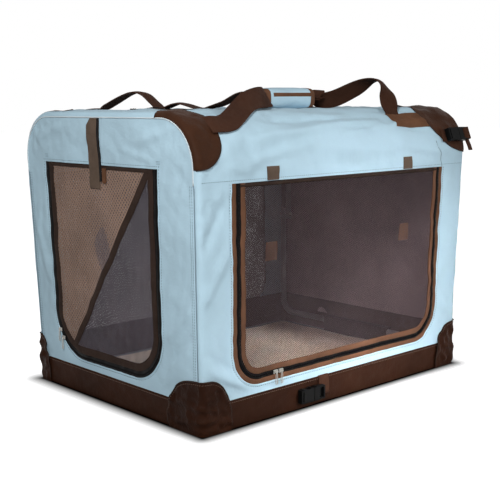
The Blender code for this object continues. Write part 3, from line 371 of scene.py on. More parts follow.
def vertex_places(mesh):
    places = np.zeros(len(mesh.vertices) * 3)
    mesh.vertices.foreach_get("co", places)
    return places.reshape(-1, 3)


finished, sheets = {}, []


def dress(obj, body, finish, nodes=()):
    # Gives a piece its finish and body, and lets it stand for its CAD nodes.
    if not obj.data.materials:
        obj.data.materials.append(finish)
    for index, own in enumerate(obj.data.materials):
        obj.data.materials[index] = own or finish
    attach(obj, body)
    if nodes:
        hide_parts(*nodes)
    finished[obj.name] = len(obj.data.polygons)
    return obj


# %% [markdown]
# One helper makes a sewn piece from its grids, gives it a thickness, and notes its flat size,
# which its UV map already holds. What it rests on follows from the body that it rides.

# %% Sewn pieces
RESTS_ON = {"base": "base_frame", "handle": "handle_grip_padding", "top_plug": "top_buckle_plug_frame"}
LEAST_WIDTH = 0.0102
# How thick each kind of cloth is made.
WALL_CLOTH, PATCH_CLOTH, BAND_CLOTH, FLOOR_CLOTH = 0.0012, 0.0014, 0.0018, 0.0022
BINDING, TAPE, FINE_TAPE, NET_CLOTH, WEBBING = 0.0012, 0.0010, 0.0006, 0.0004, 0.0016


def flat_size(grids):
    # A narrow tape's cut width takes in its turned edge.
    uv = np.concatenate([grid[1].reshape(-1, 2) for grid in grids])
    return tuple(max(float(n), LEAST_WIDTH) for n in uv.max(0) - uv.min(0))


def sewn(name, grids, thickness, finish, body, nodes=(), slot=None, held="stretched", flat=None,
         measured=True, **mesh):
    # held is None for a piece that isn't cloth; flat is given where cloth is cut larger than its UV map.
    obj = new_object(name, cloth_mesh(name, grids, **mesh))
    width, length = flat or flat_size(grids)
    area = cloth_area(obj.data)
    if not flat:
        area = min(area, width * length)
    thicken(obj, thickness)
    dress(obj, body, finish, nodes)
    if held:
        rests = [RESTS_ON.get(body, "roof_frame")]
        sheets.append((obj, (width, length), area if measured else None, held, rests))
    return obj


# %% [markdown]
# ## Outlines of the doors
# Both doors are U shapes: straight sides, round lower corners and a straight top. The same
# function with a growing inset gives the zip, the binding and the edge of the mesh.


# %% Door outlines
FRONT_DOOR = {"middle": 0.0, "half": 0.278, "radius": 0.060}
LEFT_DOOR = {"middle": 0.015, "half": 0.171, "radius": 0.085}
FRONT_TOP = CAP_LOW - 0.0003
LEFT_TOP = 0.431
END_TOP = LEFT_TOP - 0.0003
WINDOW_TOP = 0.400
SIDE_STEPS, TURN_STEPS, BASE_STEPS = 46, 18, 64


def u_points(left, right, base_left, base_right, low, turn_z, top, early, late):
    # Points (a, z) from the top left corner, down, round and up to the top right corner.
    down = np.linspace(top, turn_z, SIDE_STEPS, endpoint=False)
    up = np.linspace(turn_z, top, SIDE_STEPS + 1)
    base = np.linspace(base_left, base_right, BASE_STEPS, endpoint=False)
    turned = left + (base_left - left) * late, base_right + (right - base_right) * early
    a = [np.full(len(down), left), turned[0], base, turned[1], np.full(len(up), right)]
    z = [down, turn_z + (low - turn_z) * early, np.full(len(base), low), low + (turn_z - low) * late, up]
    return np.stack([np.concatenate(a), np.concatenate(z)], 1)


def u_path(door, inset, top):
    half, low = door["half"] - inset, DOOR_LOW + inset
    radius = max(door["radius"] - inset, 0.004)
    left, right = door["middle"] - half, door["middle"] + half
    sweep = np.linspace(0, math.pi / 2, TURN_STEPS, endpoint=False)
    early, late = np.sin(sweep), 1 - np.cos(sweep)
    return u_points(left, right, left + radius, right - radius, low, low + radius, top, early, late)


def path_length(points):
    steps = np.linalg.norm(np.diff(points, axis=0), axis=-1)
    return np.concatenate([[0], np.cumsum(steps)])


def door_strip(place, door, top, outer, inner, height, columns=7):
    # A strip of tape between two insets; height gives its rise across, from 0 to 1.
    grid, uv = [], []
    run = path_length(u_path(door, (outer + inner) / 2, top))
    for t in np.linspace(0, 1, columns):
        path = u_path(door, outer + (inner - outer) * t, top)
        grid.append(place(path[:, 0], path[:, 1], height(t)))
        uv.append(uv_grid(run, (inner - outer) * t))
    return np.array(grid), np.array(uv)


# %% [markdown]
# ## Finishes
# Each finish is a small node tree. Cloth reads the UV map in metres, so that threads have their
# real pitch. A woven cloth is two sets of threads whose heights multiply into a fine checker,
# with slow changes of colour over it where dye and handling differ.


# %% Node helpers
def node(tree, kind, values=None, **settings):
    made = tree.nodes.new("ShaderNode" + kind)
    for key, value in settings.items():
        setattr(made, key, value)
    for key, value in (values or {}).items():
        if isinstance(value, bpy.types.NodeSocket):
            tree.links.new(value, made.inputs[key])
        else:
            made.inputs[key].default_value = value
    return made


def math_node(tree, operation, first, second=0.5, third=0.5):
    return node(tree, "Math", {0: first, 1: second, 2: third}, operation=operation).outputs[0]


def mix_colour(tree, factor, first, second):
    return node(tree, "Mix", {0: factor, 6: first, 7: second}, data_type="RGBA").outputs[2]


def new_finish(name, roughness, metallic=0.0, sheen=0.0, gloss=0.5):
    made = bpy.data.materials.new(name)
    made.use_nodes = True
    shader = made.node_tree.nodes["Principled BSDF"]
    values = {"Roughness": roughness, "Specular IOR Level": gloss, "Metallic": metallic,
              "Sheen Weight": sheen, "Sheen Roughness": 0.5}
    for key, value in values.items():
        shader.inputs[key].default_value = value
    return made, made.node_tree, shader


def uv_and_object(tree):
    return node(tree, "UVMap", uv_map="cloth").outputs[0], node(tree, "TexCoord").outputs["Object"]


def noise(tree, place, scale, detail=3.0, rough=0.5):
    values = {"Vector": place, "Scale": scale, "Detail": detail, "Roughness": rough}
    return node(tree, "TexNoise", values).outputs["Fac"]


def spread(tree, value, low, high, out_low=0.0, out_high=1.0):
    values = {0: value, 1: low, 2: high, 3: out_low, 4: out_high}
    return node(tree, "MapRange", values, clamp=True).outputs[0]


def threads(tree, uv, pitch, turn=0.0):
    # Two sine waves of one thread pitch, in the cloth's own directions.
    turned = node(tree, "VectorRotate", {"Vector": uv, "Angle": turn}, rotation_type="Z_AXIS").outputs[0]
    split = node(tree, "SeparateXYZ", {0: turned})
    phases = [math_node(tree, "MULTIPLY", split.outputs[axis], 2 * math.pi / pitch) for axis in (0, 1)]
    return [math_node(tree, "SINE", phase) for phase in phases]


def bump(tree, shader, height, distance, strength=1.0, under=None):
    values = {"Height": height, "Distance": distance, "Strength": strength}
    if under is not None:
        values["Normal"] = under
    made = node(tree, "Bump", values).outputs[0]
    tree.links.new(made, shader.inputs["Normal"])
    return made


def rgba(colour, factor=1.0):
    return (*[channel * factor for channel in colour], 1.0)


def dyed(tree, place, scale, colour, low, high, start=0.3, end=0.7):
    # The colour, changing slowly between a darker and a lighter shade of itself.
    slow = spread(tree, noise(tree, place, scale, 4.0), start, end)
    return mix_colour(tree, slow, rgba(colour, low), rgba(colour, high))


def surface(tree, shader, colour, pattern, low, high):
    # The pattern gives the roughness its patches.
    tree.links.new(colour, shader.inputs["Base Color"])
    tree.links.new(spread(tree, pattern, 0.3, 0.7, low, high), shader.inputs["Roughness"])


# %% [markdown]
# The blue and the brown cloth are the same polyester weave in two dyes. Small creases that are
# too fine for the mesh are in the bump, and the threads' own sheen is a constant on the shader.


# %% Woven finishes
def woven(name, colour, pitch=0.0011, roughness=0.8, sheen=0.15, crease=0.0006, change=0.10, gloss=0.2):
    made, tree, shader = new_finish(name, roughness, sheen=sheen, gloss=gloss)
    uv, place = uv_and_object(tree)
    warp, weft = threads(tree, uv, pitch)
    checker = math_node(tree, "MULTIPLY", warp, weft)
    shade = dyed(tree, place, 9.0, colour, 1 - change, 1 + change / 2, 0.35, 0.65)
    thread = math_node(tree, "MULTIPLY_ADD", checker, 0.22, 0.5)
    speck = math_node(tree, "ADD", thread, math_node(tree, "MULTIPLY", noise(tree, place, 700.0, 2.0), 0.4))
    speckled = mix_colour(tree, spread(tree, speck, 0.3, 1.1, 0.0, 0.35), shade, rgba(colour, 0.72))
    fine = noise(tree, place, 46.0, 5.0, 0.6)
    surface(tree, shader, speckled, fine, roughness - 0.06, roughness + 0.08)
    under = bump(tree, shader, fine, crease, 0.8)
    bump(tree, shader, checker, 0.00006, 0.6, under)
    return made


BLUE = (0.455, 0.635, 0.740)
BROWN = (0.028, 0.0105, 0.0055)
PATCH_BROWN, PATCH_DARK = (0.055, 0.0225, 0.0118), (0.028, 0.0100, 0.0050)
PIPING_BROWN, PIPING_BLUE_HIGHLIT, SEAM_SHADOW_BLUE = (0.026, 0.013, 0.009), (0.62, 0.71, 0.75), (0.20, 0.27, 0.32)

blue_cloth = woven("light blue polyester weave", BLUE, sheen=0.06, crease=0.0020, change=0.08)
brown_cloth = woven("dark brown polyester weave", BROWN, 0.0011, 0.55, 0.0, 0.0022, 0.3, 0.035)
patch_brown = woven("brown patch weave", PATCH_BROWN, 0.0011, 0.5, 0.0, 0.0035, 0.3, 0.035)
patch_dark = woven("dark brown patch weave", PATCH_DARK, 0.0011, 0.42, 0.0, 0.0060, 0.4, 0.03)
piping_brown = woven("dark brown piping", PIPING_BROWN, pitch=0.0008, sheen=0.0, change=0.2)
# The piping is real; its colour, paler than the blue cloth, is partly a painted highlight along the cord.
piping_blue_highlit = woven("blue piping, painted pale as a highlight", PIPING_BLUE_HIGHLIT, pitch=0.0008, change=0.08)
# Painted shadow: a dark blue cord laid along a seam stands for the shade in it.
seam_shadow_blue = woven("painted seam shadow in dark blue", SEAM_SHADOW_BLUE, pitch=0.0008, sheen=0.0)


# %% [markdown]
# Webbing and zip tape are woven narrow, with ribs that run across the strip and a firm edge.


# %% Webbing finishes
def ribbed(name, colour, rib=0.0021, roughness=0.78, depth=0.00022, change=0.2, slant=0.35):
    made, tree, shader = new_finish(name, roughness, gloss=0.06)
    uv, place = uv_and_object(tree)
    along = threads(tree, uv, rib, slant)[0]
    small = threads(tree, uv, rib / 3)[0]
    height = math_node(tree, "MULTIPLY_ADD", small, 0.25, along)
    shade = dyed(tree, place, 22.0, colour, 1 - change, 1 + change)
    # Painted shade: the colour darkens in the grooves between the ribs, where the height is low.
    ribs = mix_colour(tree, spread(tree, height, -1.0, 0.6, 0.45, 0.0), shade, rgba(colour, 0.45))
    surface(tree, shader, ribs, noise(tree, place, 160.0), roughness - 0.08, roughness + 0.1)
    bump(tree, shader, height, depth, 0.8)
    return made


brown_webbing = ribbed("dark brown ribbed webbing", (0.052, 0.022, 0.013))
tan_webbing = ribbed("brown ribbed tape", (0.150, 0.070, 0.038))
strap_webbing = ribbed("taupe brown strap", (0.135, 0.095, 0.070), rib=0.0016)
binding_brown = ribbed("folded brown binding", (0.036, 0.022, 0.017), rib=0.0014)
binding_tan = ribbed("folded tan binding", (0.150, 0.072, 0.042), rib=0.0014)


# %% [markdown]
# The doors are open mesh. The net is cut out by the alpha of the shader: two sets of waves leave
# round holes, and the threshold is worked out so that the wanted share of the cloth is open.


# %% Mesh net finishes
def net(name, colour, pitch, open_share, turn=math.pi / 4, roughness=0.6, soft=0.06):
    made, tree, shader = new_finish(name, roughness, gloss=0.15)
    uv, place = uv_and_object(tree)
    waves = [math_node(tree, "ABSOLUTE", wave) for wave in threads(tree, uv, pitch * 2, turn)]
    hole = math_node(tree, "MULTIPLY", *waves)
    wave = np.abs(np.sin(np.linspace(0, math.pi, 400, endpoint=False)))
    limit = float(np.quantile(np.outer(wave, wave), 1 - open_share))
    tree.links.new(spread(tree, hole, limit - soft, limit + soft, 1.0, 0.0), shader.inputs["Alpha"])
    shade = dyed(tree, place, 12.0, colour, 0.75, 1.25)
    # Painted highlight: each thread is lighter along its middle and plainer towards the holes.
    highlit_threads = mix_colour(tree, spread(tree, hole, 0.0, limit, 0.35, 0.0), shade, rgba(colour, 1.8))
    surface(tree, shader, highlit_threads, noise(tree, place, 90.0), roughness - 0.1, roughness + 0.1)
    bump(tree, shader, hole, 0.0003, 0.5)
    print(name, "opens above", round(limit, 3))
    return made


door_net = net("dark plum door mesh", (0.056, 0.040, 0.043), 0.0026, 0.70)
end_net = net("dark plum end mesh", (0.072, 0.064, 0.078), 0.0026, 0.50)
coarse_net = net("taupe coarse mesh", (0.205, 0.135, 0.102), 0.0058, 0.24, turn=0.9)
window_net = net("dense window mesh", (0.090, 0.068, 0.072), 0.0018, 0.10)
dense_net = net("dense inner mesh", (0.320, 0.230, 0.245), 0.0018, 0.0)


# %% [markdown]
# Fleece, powder-coated steel, moulded plastic and plated zinc have no threads, so they read
# Object coordinates.


# %% Fleece, metal and plastic finishes
def fleece(name, colour):
    made, tree, shader = new_finish(name, 0.95, sheen=0.5)
    place = node(tree, "TexCoord").outputs["Object"]
    curl = noise(tree, place, 260.0, 4.0, 0.65)
    tuft = node(tree, "TexVoronoi", {"Vector": place, "Scale": 190.0}).outputs["Distance"]
    shade = dyed(tree, place, 11.0, colour, 0.80, 1.15)
    # Painted shade: the colour darkens in the pits of the pile, where the curl is low.
    pit_shade = spread(tree, curl, 0.30, 0.62, 0.55, 0.0)
    tree.links.new(mix_colour(tree, pit_shade, shade, rgba(colour, 0.45)), shader.inputs["Base Color"])
    under = bump(tree, shader, tuft, 0.0016, 0.7)
    bump(tree, shader, curl, 0.0014, 0.8, under)
    return made


def coated(name, colour, roughness, metallic=0.0, grain=900.0, depth=0.00004, wear=None, gloss=0.5):
    made, tree, shader = new_finish(name, roughness, metallic, gloss=gloss)
    place = node(tree, "TexCoord").outputs["Object"]
    shade = dyed(tree, place, 30.0, colour, 0.88, 1.12)
    scuff = spread(tree, noise(tree, place, 210.0, 6.0, 0.7), 0.60, 0.74, 0.0, 0.6)
    worn = mix_colour(tree, scuff, shade, rgba(wear or colour))
    surface(tree, shader, worn, noise(tree, place, 120.0, 4.0), roughness - 0.08, roughness + 0.12)
    bump(tree, shader, noise(tree, place, grain, 2.0), depth, 0.7)
    return made


mat_fleece = fleece("taupe fleece", (0.95, 0.63, 0.43))
steel_coat = coated("grey powder-coated steel", (0.19, 0.20, 0.21), 0.42, 0.35)
black_plastic = coated("black moulded plastic", (0.004,) * 3, 0.38, wear=(0.010,) * 3, gloss=0.04)
black_nylon = coated("black zip nylon", (0.005, 0.0045, 0.0045), 0.45, grain=2400.0, gloss=0.04)
plated_zinc = coated("plated zinc", (0.36, 0.35, 0.33), 0.30, 1.0, grain=1500.0, wear=(0.16, 0.15, 0.14))
blue_thread = coated("blue thread", (0.13, 0.20, 0.24), 0.6, grain=2400.0)
brown_thread = coated("brown thread", (0.095, 0.052, 0.034), 0.6, grain=2400.0)
hook_strip = coated("black hook strip", (0.008, 0.007, 0.007), 0.8, grain=1600.0, depth=0.0004, gloss=0.1)
print(len(bpy.data.materials), "materials")


# %% [markdown]
# ## Things that repeat along a seam
# Stitches, zip teeth and hook rows are one small shape set along a path again and again. One
# Geometry Nodes tree does it: it turns the path into a curve, spaces points along it, aims an
# instance at each one with the surface's outward direction, and makes the result real.


# %% The seam tree
SEAM_INPUTS = {"Path": "Geometry", "Item": "Object", "Spacing": "Float", "Size": "Float",
               "Finish": "Material"}


def seam_tree():
    tree = bpy.data.node_groups.new("Items along a seam", "GeometryNodeTree")
    for name, kind in SEAM_INPUTS.items():
        tree.interface.new_socket(name, in_out="INPUT", socket_type="NodeSocket" + kind)
    tree.interface.new_socket("Seam", in_out="OUTPUT", socket_type="NodeSocketGeometry")
    new, link = tree.nodes.new, tree.links.new
    start, end = new("NodeGroupInput"), new("NodeGroupOutput")
    curve, spaced = new("GeometryNodeMeshToCurve"), new("GeometryNodeResampleCurve")
    spaced.mode = "LENGTH"
    outward = new("GeometryNodeInputNamedAttribute")
    outward.data_type = "FLOAT_VECTOR"
    outward.inputs["Name"].default_value = "outward"
    tangent, turn = new("GeometryNodeInputTangent"), new("FunctionNodeAxesToRotation")
    turn.primary_axis, turn.secondary_axis = "Z", "X"
    item, place = new("GeometryNodeObjectInfo"), new("GeometryNodeInstanceOnPoints")
    real, paint = new("GeometryNodeRealizeInstances"), new("GeometryNodeSetMaterial")
    link(start.outputs["Path"], curve.inputs[0])
    link(curve.outputs[0], spaced.inputs["Curve"])
    link(start.outputs["Spacing"], spaced.inputs["Length"])
    link(start.outputs["Item"], item.inputs["Object"])
    link(spaced.outputs[0], place.inputs["Points"])
    link(item.outputs["Geometry"], place.inputs["Instance"])
    link(outward.outputs[0], turn.inputs[0])
    link(tangent.outputs[0], turn.inputs[1])
    link(turn.outputs[0], place.inputs["Rotation"])
    link(start.outputs["Size"], place.inputs["Scale"])
    link(place.outputs[0], real.inputs[0])
    link(real.outputs[0], paint.inputs["Geometry"])
    link(start.outputs["Finish"], paint.inputs["Material"])
    link(paint.outputs[0], end.inputs[0])
    return tree


ALONG = seam_tree()


def path_mesh(name, paths):
    # Each path is (points[n, 3], outward[n, 3]); the result is plain edges with that attribute.
    points, edges, outward, first = [], [], [], 0
    for line, normal in paths:
        points += [tuple(p) for p in line]
        outward += [tuple(v) for v in normal]
        edges += [(first + i, first + i + 1) for i in range(len(line) - 1)]
        first += len(line)
    mesh = bpy.data.meshes.new(name)
    mesh.from_pydata(points, edges, [])
    attribute = mesh.attributes.new("outward", "FLOAT_VECTOR", "POINT")
    attribute.data.foreach_set("vector", np.array(outward, np.float32).ravel())
    return mesh


def along_paths(name, paths, item, spacing, finish, body, size=1.0):
    obj = new_object(name, path_mesh(name, paths))
    modifier = obj.modifiers.new("Items", "NODES")
    modifier.node_group = ALONG
    values = {"Item": item, "Spacing": spacing, "Size": size, "Finish": finish}
    for socket in ALONG.interface.items_tree:
        if socket.in_out == "INPUT" and socket.name in values:
            modifier[socket.identifier] = values[socket.name]
    applied(obj)
    print(name, len(obj.data.polygons), "faces")
    dress(obj, body, finish)


def small_item(name, scale):
    # A little rounded bar, longest along X.
    work = bmesh.new()
    bmesh.ops.create_icosphere(work, subdivisions=1, radius=0.5)
    bmesh.ops.scale(work, vec=scale, verts=work.verts)
    for face in work.faces:
        face.smooth = True
    item = new_object(name, mesh_from(name, work))
    item.hide_render = True
    return item


stitch_item = small_item("stitch_item", (0.0030, 0.0007, 0.0006))
tooth_item = small_item("tooth_item", (0.0011, 0.0046, 0.0016))


def seam_on(place, a, z, out=0.0):
    # A line of places on the cloth with the outward direction at each one.
    low, high = place(a, z, out), place(a, z, out + 0.001)
    return low, (high - low) / np.linalg.norm(high - low, axis=-1)[:, None]


# %% [markdown]
# ## The blue walls
# A long wall is one cloth that turns both corners, with an opening cut for the door or window.
# Its grid runs in rings from the outer edge in to the opening, so the opening's edge is clean.


# %% Wall grids
def outer_path(door, top, reach):
    # Matches u_path point for point on the rectangle round it.
    turn_z = DOOR_LOW + door["radius"]
    left = door["middle"] - door["half"] + door["radius"]
    right = door["middle"] + door["half"] - door["radius"]
    t = np.linspace(0, 1, TURN_STEPS, endpoint=False)
    early, late = np.clip(t * 2, 0, 1), np.clip(t * 2 - 1, 0, 1)
    return u_points(-reach, reach, left, right, BAND_TOP, turn_z, top, early, late)


def ring_rows(width):
    # Shares of the way in from the corner seam, close at the seam and at the opening's hem.
    near = np.array([0, 0.0008, 0.0017, 0.0028, 0.0043, 0.0063, 0.0088, 0.0120, 0.0157, 0.0200]) / width
    hem = 1 - np.array([0.0120, 0.0085, 0.0060, 0.0042, 0.0028, 0.0016, 0.0007, 0]) / width
    return np.concatenate([near, np.linspace(near[-1], hem[0], 13)[1:-1], hem])


def hem_rise(distance):
    # The cloth is turned under at an opening: a thin roll, then a groove where it is stitched.
    roll = 0.0008 * np.exp(-(((distance - 0.0016) / 0.0012) ** 2))
    groove = 0.0006 * np.exp(-(((distance - 0.0042) / 0.0011) ** 2))
    return roll - groove - 0.0006 * (1 - ease(distance, 0, 0.0009))


def opening_grid(place, door, top, reach, rows):
    inner, outer = u_path(door, 0.0, top), outer_path(door, top, reach)
    path = outer + (inner - outer) * rows[:, None, None]
    distance = np.linalg.norm(path - inner, axis=-1)
    return laid(place, path[..., 0], path[..., 1], hem_rise(distance))


def ring_columns(door, reach, rows):
    # Where the rings of opening_grid stand at its top edge, left and right of the opening.
    left = -reach + (door["middle"] - door["half"] + reach) * rows
    right = reach + (door["middle"] + door["half"] - reach) * rows
    return left, right


def top_strip(place, door, low, high, reach, rows, steps=4):
    # Cloth above a window: it shares its lower edge with the ring below.
    left, right = ring_columns(door, reach, rows)
    a = np.concatenate([left, np.linspace(left[-1], right[-1], 60)[1:-1], right[::-1]])
    return laid(place, *np.meshgrid(a, np.linspace(low, high, steps + 1)))


# %% [markdown]
# The front wall has the zip door's opening, which is open at the top where the roof cloth's hem
# covers it. The back wall and the right end have windows, closed by a strip of cloth above.

# %% Build the walls
WALLS = (
    ("front_wall", "front_wall", front_place, FRONT_DOOR, WALL_REACH, False, (0.71, 0.30)),
    ("back_wall", "back_wall", back_place, FRONT_DOOR, WALL_REACH, True, (0.71, 0.31)),
    ("left_end", "left_end_wall", left_place, LEFT_DOOR, END_HALF, False, (0.50, 0.36)),
    ("right_end", "right_end_wall", right_place, LEFT_DOOR, END_HALF, True, (0.50, 0.36)),
)

for name, node_name, place, door, reach, windowed, flat in WALLS:
    rows = ring_rows(reach - door["half"])
    grids = [opening_grid(place, door, WINDOW_TOP if windowed else CAP_LOW, reach, rows)]
    if windowed:
        grids.append(top_strip(place, door, WINDOW_TOP, CAP_LOW, reach, rows))
    sewn(name + "_cloth", grids, WALL_CLOTH, blue_cloth, "base", [node_name], "blue_cloth", flat=flat)
    print(name, "cloth area", round(sheets[-1][2], 3), "m2")


# %% [markdown]
# ## The roof
# One cloth goes over the roof from hem to hem, and an end panel closes each rounded end. The
# end panels run on from the walls below them, so no seam shows across an end. A thin piping is
# sewn in where the roof meets each end panel; its pale colour is partly a painted highlight.


# %% Roof cloth
def past_corners(middle, turned):
    # Columns that run on round the corner at both ends.
    return np.concatenate([-turned[::-1], middle, turned])


def end_panel_grids(end, notch):
    # Columns across the end; each one stands from the wall below up to the rounded rim.
    left_side, right_side = ring_columns(LEFT_DOOR, END_HALF, ring_rows(END_HALF - LEFT_DOOR["half"]))
    inner = ROOF_ROUND - SEAM_ROUND
    rim = FLAT_HALF + inner * np.sin(np.linspace(0, math.pi / 2, 15))
    middle = np.linspace(left_side[-1], right_side[-1], 52)
    columns = np.unique(np.round(np.concatenate([left_side, middle, right_side, rim, -rim]), 7))
    past = np.clip(np.abs(columns) - FLAT_HALF, 0, inner)
    high = SPRING + np.sqrt(np.clip(inner**2 - past**2, 0, None))
    start = LEFT_TOP if notch else CAP_LOW
    t = np.linspace(0, 1, 22)[:, None]
    place = partial(on_end, end)
    grids = [laid(place, np.broadcast_to(columns, (len(t), len(columns))), start + (high - start) * t)]
    if notch:
        for low_y, high_y in ((-END_HALF, left_side[-1]), (right_side[-1], END_HALF)):
            some = columns[(columns >= low_y - 1e-6) & (columns <= high_y + 1e-6)]
            grids.append(laid(place, *np.meshgrid(some, np.linspace(CAP_LOW, LEFT_TOP, 6))))
    return grids


x = past_corners(np.linspace(-WALL_HALF, WALL_HALF, 116), np.linspace(WALL_HALF, WALL_REACH, 7)[1:])
roof_grid = laid(on_roof, *np.meshgrid(x, np.linspace(0, ROOF_SPAN, 128)))
sewn("roof_cloth", [roof_grid], WALL_CLOTH, blue_cloth, "roof", ["roof_panel"], "blue_cloth",
     flat=(0.70, 0.67), measured=False)
for end, word in ((-1, "left"), (1, "right")):
    sewn(word + "_end_top_cloth", end_panel_grids(end, end < 0), WALL_CLOTH, blue_cloth, "roof",
         slot="blue_cloth", flat=(0.50, 0.115))


# %% [markdown]
# ## Piping and round cords
# Piping is a strip of cloth folded round a thin cord and caught in the seam. A tube is swept
# along each seam, a ring of points for each point of the path, and its ends are closed.


# %% Tube helper
def unit(vectors):
    return vectors / np.linalg.norm(vectors, axis=-1, keepdims=True)


def across_path(tangent):
    # A direction square to the path at each point, carried along it without twisting.
    side = np.cross(tangent[0], (0, 0, 1.0))
    if np.linalg.norm(side) < 0.1:
        side = np.cross(tangent[0], (1.0, 0, 0))
    across = []
    for t in tangent:
        side = unit(side - t * side.dot(t))
        across.append(side)
    return np.array(across)


def tube_mesh(name, line, radius, sides=8, closed=False):
    line = np.array(line, float)
    tangent = unit(np.roll(line, -1, 0) - np.roll(line, 1, 0) if closed else np.gradient(line, axis=0))
    across = across_path(tangent)
    up = np.cross(across, tangent)
    angle = np.linspace(0, 2 * math.pi, sides + 1)
    ring = across[:, None] * np.cos(angle)[None, :, None] + up[:, None] * np.sin(angle)[None, :, None]
    points = line[:, None] + ring * radius
    uv = uv_grid(path_length(line)[:, None], (angle * radius)[None, :])
    if closed:
        points = np.concatenate([points, points[:1]])
        uv = np.concatenate([uv, uv[-1:] + (0.004, 0)])
    mesh = cloth_mesh(name, [(points, uv)], outward=False)
    if closed:
        return mesh
    work = bmesh.new()
    work.from_mesh(mesh)
    bmesh.ops.holes_fill(work, edges=[edge for edge in work.edges if edge.is_boundary], sides=sides + 2)
    bmesh.ops.recalc_face_normals(work, faces=work.faces)
    return mesh_from(name, work)


def cord_piece(name, lines, radius, finish, body, nodes=(), sides=8, closed=False):
    meshes = [tube_mesh(name, line, radius, sides, closed) for line in lines]
    return dress(new_object(name, join_meshes(name, meshes)), body, finish, nodes)


# %% [markdown]
# The roof piping follows the rounded end from hem to hem. Its centre sits just outside the
# cloth's edge, so that half of it stands proud, as on the real seam.

# %% Roof piping
s_line = np.linspace(0, ROOF_SPAN, 110)
piping = [on_roof(end * WALL_REACH, s_line, 0.0002) for end in (-1, 1)]
cord_piece("roof_end_piping", piping, 0.0013, piping_blue_highlit, "roof")


# %% [markdown]
# ## The brown base
# The base band is a strip of the brown cloth round the foot of the crate, joined to a flat
# cloth floor. It stands a little proud of the blue walls that are sewn into its top edge.


# %% Base band
BAND_Z = np.concatenate([np.linspace(0.0008, BAND_TOP, 14), [BAND_TOP + 0.0006, BAND_TOP + 0.0002]])
BAND_PUSH = np.array([0.0002] + [0.0010] * 13 + [0.0004, -0.0014])


def band_height(around, z):
    soft = 0.0007 * ripple(around, z * 2, 141, 0.03, 0.11)
    return soft * hill(z, 0.002, 0.014, BAND_TOP - 0.012, BAND_TOP)


def band_grid(kind, side):
    # The outside of the band with its top edge folded in behind the wall.
    if kind == "wall":
        a = past_corners(np.linspace(-WALL_HALF, WALL_HALF, 110), np.linspace(WALL_HALF, WALL_REACH, 6)[1:])
        grid_a, grid_z = np.meshgrid(a, BAND_Z)
        out = BAND_PUSH[:, None] + band_height(grid_a + side, grid_z)
        return laid(partial(on_wall, side), grid_a, grid_z, out)
    grid_y, grid_z = np.meshgrid(np.linspace(-END_HALF, END_HALF, 84), BAND_Z)
    calm = 1 - ease(np.abs(grid_y), END_HALF - 0.01, END_HALF)
    out = BAND_PUSH[:, None] + band_height(grid_y + side * 3, grid_z) * calm
    return laid(partial(on_end, side), grid_y, grid_z, out)


band_parts = [band_grid(kind, side) for kind in ("wall", "end") for side in (-1, 1)]
sewn("base_band_cloth", band_parts, BAND_CLOTH, brown_cloth, "base", ["base_tub"], "brown_cloth",
     flat=(2.40, 0.055), weld=4e-5)
edge_x, edge_y = LENGTH / 2 - 0.006, WIDTH / 2 - 0.006
x, y = flat_grid((-edge_x, edge_x), (-edge_y, edge_y), 30, 24)
floor_grid = lean(np.stack([x, y, np.zeros(x.shape)], -1)), uv_grid(x, y)
floor_cloth = new_object("base_floor_cloth", cloth_mesh("base_floor_cloth", [floor_grid], outward=False))
thicken(floor_cloth, FLOOR_CLOTH, 1.0 if floor_cloth.data.polygons[0].normal.z > 0 else -1.0)
dress(floor_cloth, "base", brown_cloth)
sheets.append((floor_cloth, (0.66, 0.48), None, "laid", ["base_frame"]))


# %% [markdown]
# ## Corner patches
# A bottom patch is a shield of brown cloth that wraps the corner and stands on the floor. It is
# loosely laid, so it wrinkles, and a thin dark piping is sewn round its edge.


# %% Bottom patches
PATCH_TOP, PATCH_LOW, PATCH_CURVE = 0.092, 0.0008, 2.8
SEAM_INSET = 0.0045


def stitches(name, paths, body, thread=blue_thread, spacing=0.0046, size=1.4):
    along_paths(name, paths, stitch_item, spacing, thread, body, size)


def level(height):
    return lambda t: height


def crowned(base, rise):
    return lambda t: base + rise * crown(2 * t - 1, 2.6)


def patch_out(c, z, seed):
    base = 0.0024 + 0.0016 * (1 - ease(z, 0.046, 0.058))
    puff = 0.0012 * hill(z, 0.000, 0.020, 0.062, 0.088)
    fine = 0.0017 * ripple(c, z, seed, 0.014, 0.034) + 0.0012 * ripple(c, z * 0.6, seed + 5, 0.030, 0.060)
    return base + puff + np.maximum(fine, -0.0014) * hill(z, 0.000, 0.010, 0.070, 0.088)


def bottom_patch(name, end, side, along_end, along_side, seed):
    def place(c, z, out):
        return on_corner(end, side, c, z, patch_out(c, z, seed) + out)

    steps = np.sin(np.linspace(0, math.pi / 2, 34)[1:]) ** (2 / 3)
    first = -(TURN / 2 + (along_end - TURN / 2) * steps)[::-1]
    second = TURN / 2 + (along_side - TURN / 2) * steps
    c = np.concatenate([first, np.linspace(-TURN / 2, TURN / 2, 11), second])
    reach = np.where(c < 0, along_end, along_side)
    rise = np.clip(1 - (np.abs(c) / reach) ** PATCH_CURVE, 0, None) ** (1 / PATCH_CURVE)
    high = np.maximum(PATCH_TOP * rise, PATCH_LOW + 1e-6)
    t = np.linspace(0, 1, 34)[:, None]
    z = PATCH_LOW + (high - PATCH_LOW) * t
    grid = laid(place, np.broadcast_to(c, z.shape), z, -0.0012 * ease(t, 0.93, 1.0))
    sewn(name + "_cloth", [grid], PATCH_CLOTH, patch_dark, "base", [name], "brown_cloth")
    c, high = c[high > PATCH_LOW + 0.0002], high[high > PATCH_LOW + 0.0002]
    rim_piping.append(place(c, high, 0.0001))
    seam = place(c, high - SEAM_INSET, 0.0)
    normal = (place(c, high - SEAM_INSET, 0.001) - seam) / 0.001
    keep = high > 0.012
    patch_seams.append((seam[keep] + normal[keep] * 0.0001, normal[keep]))


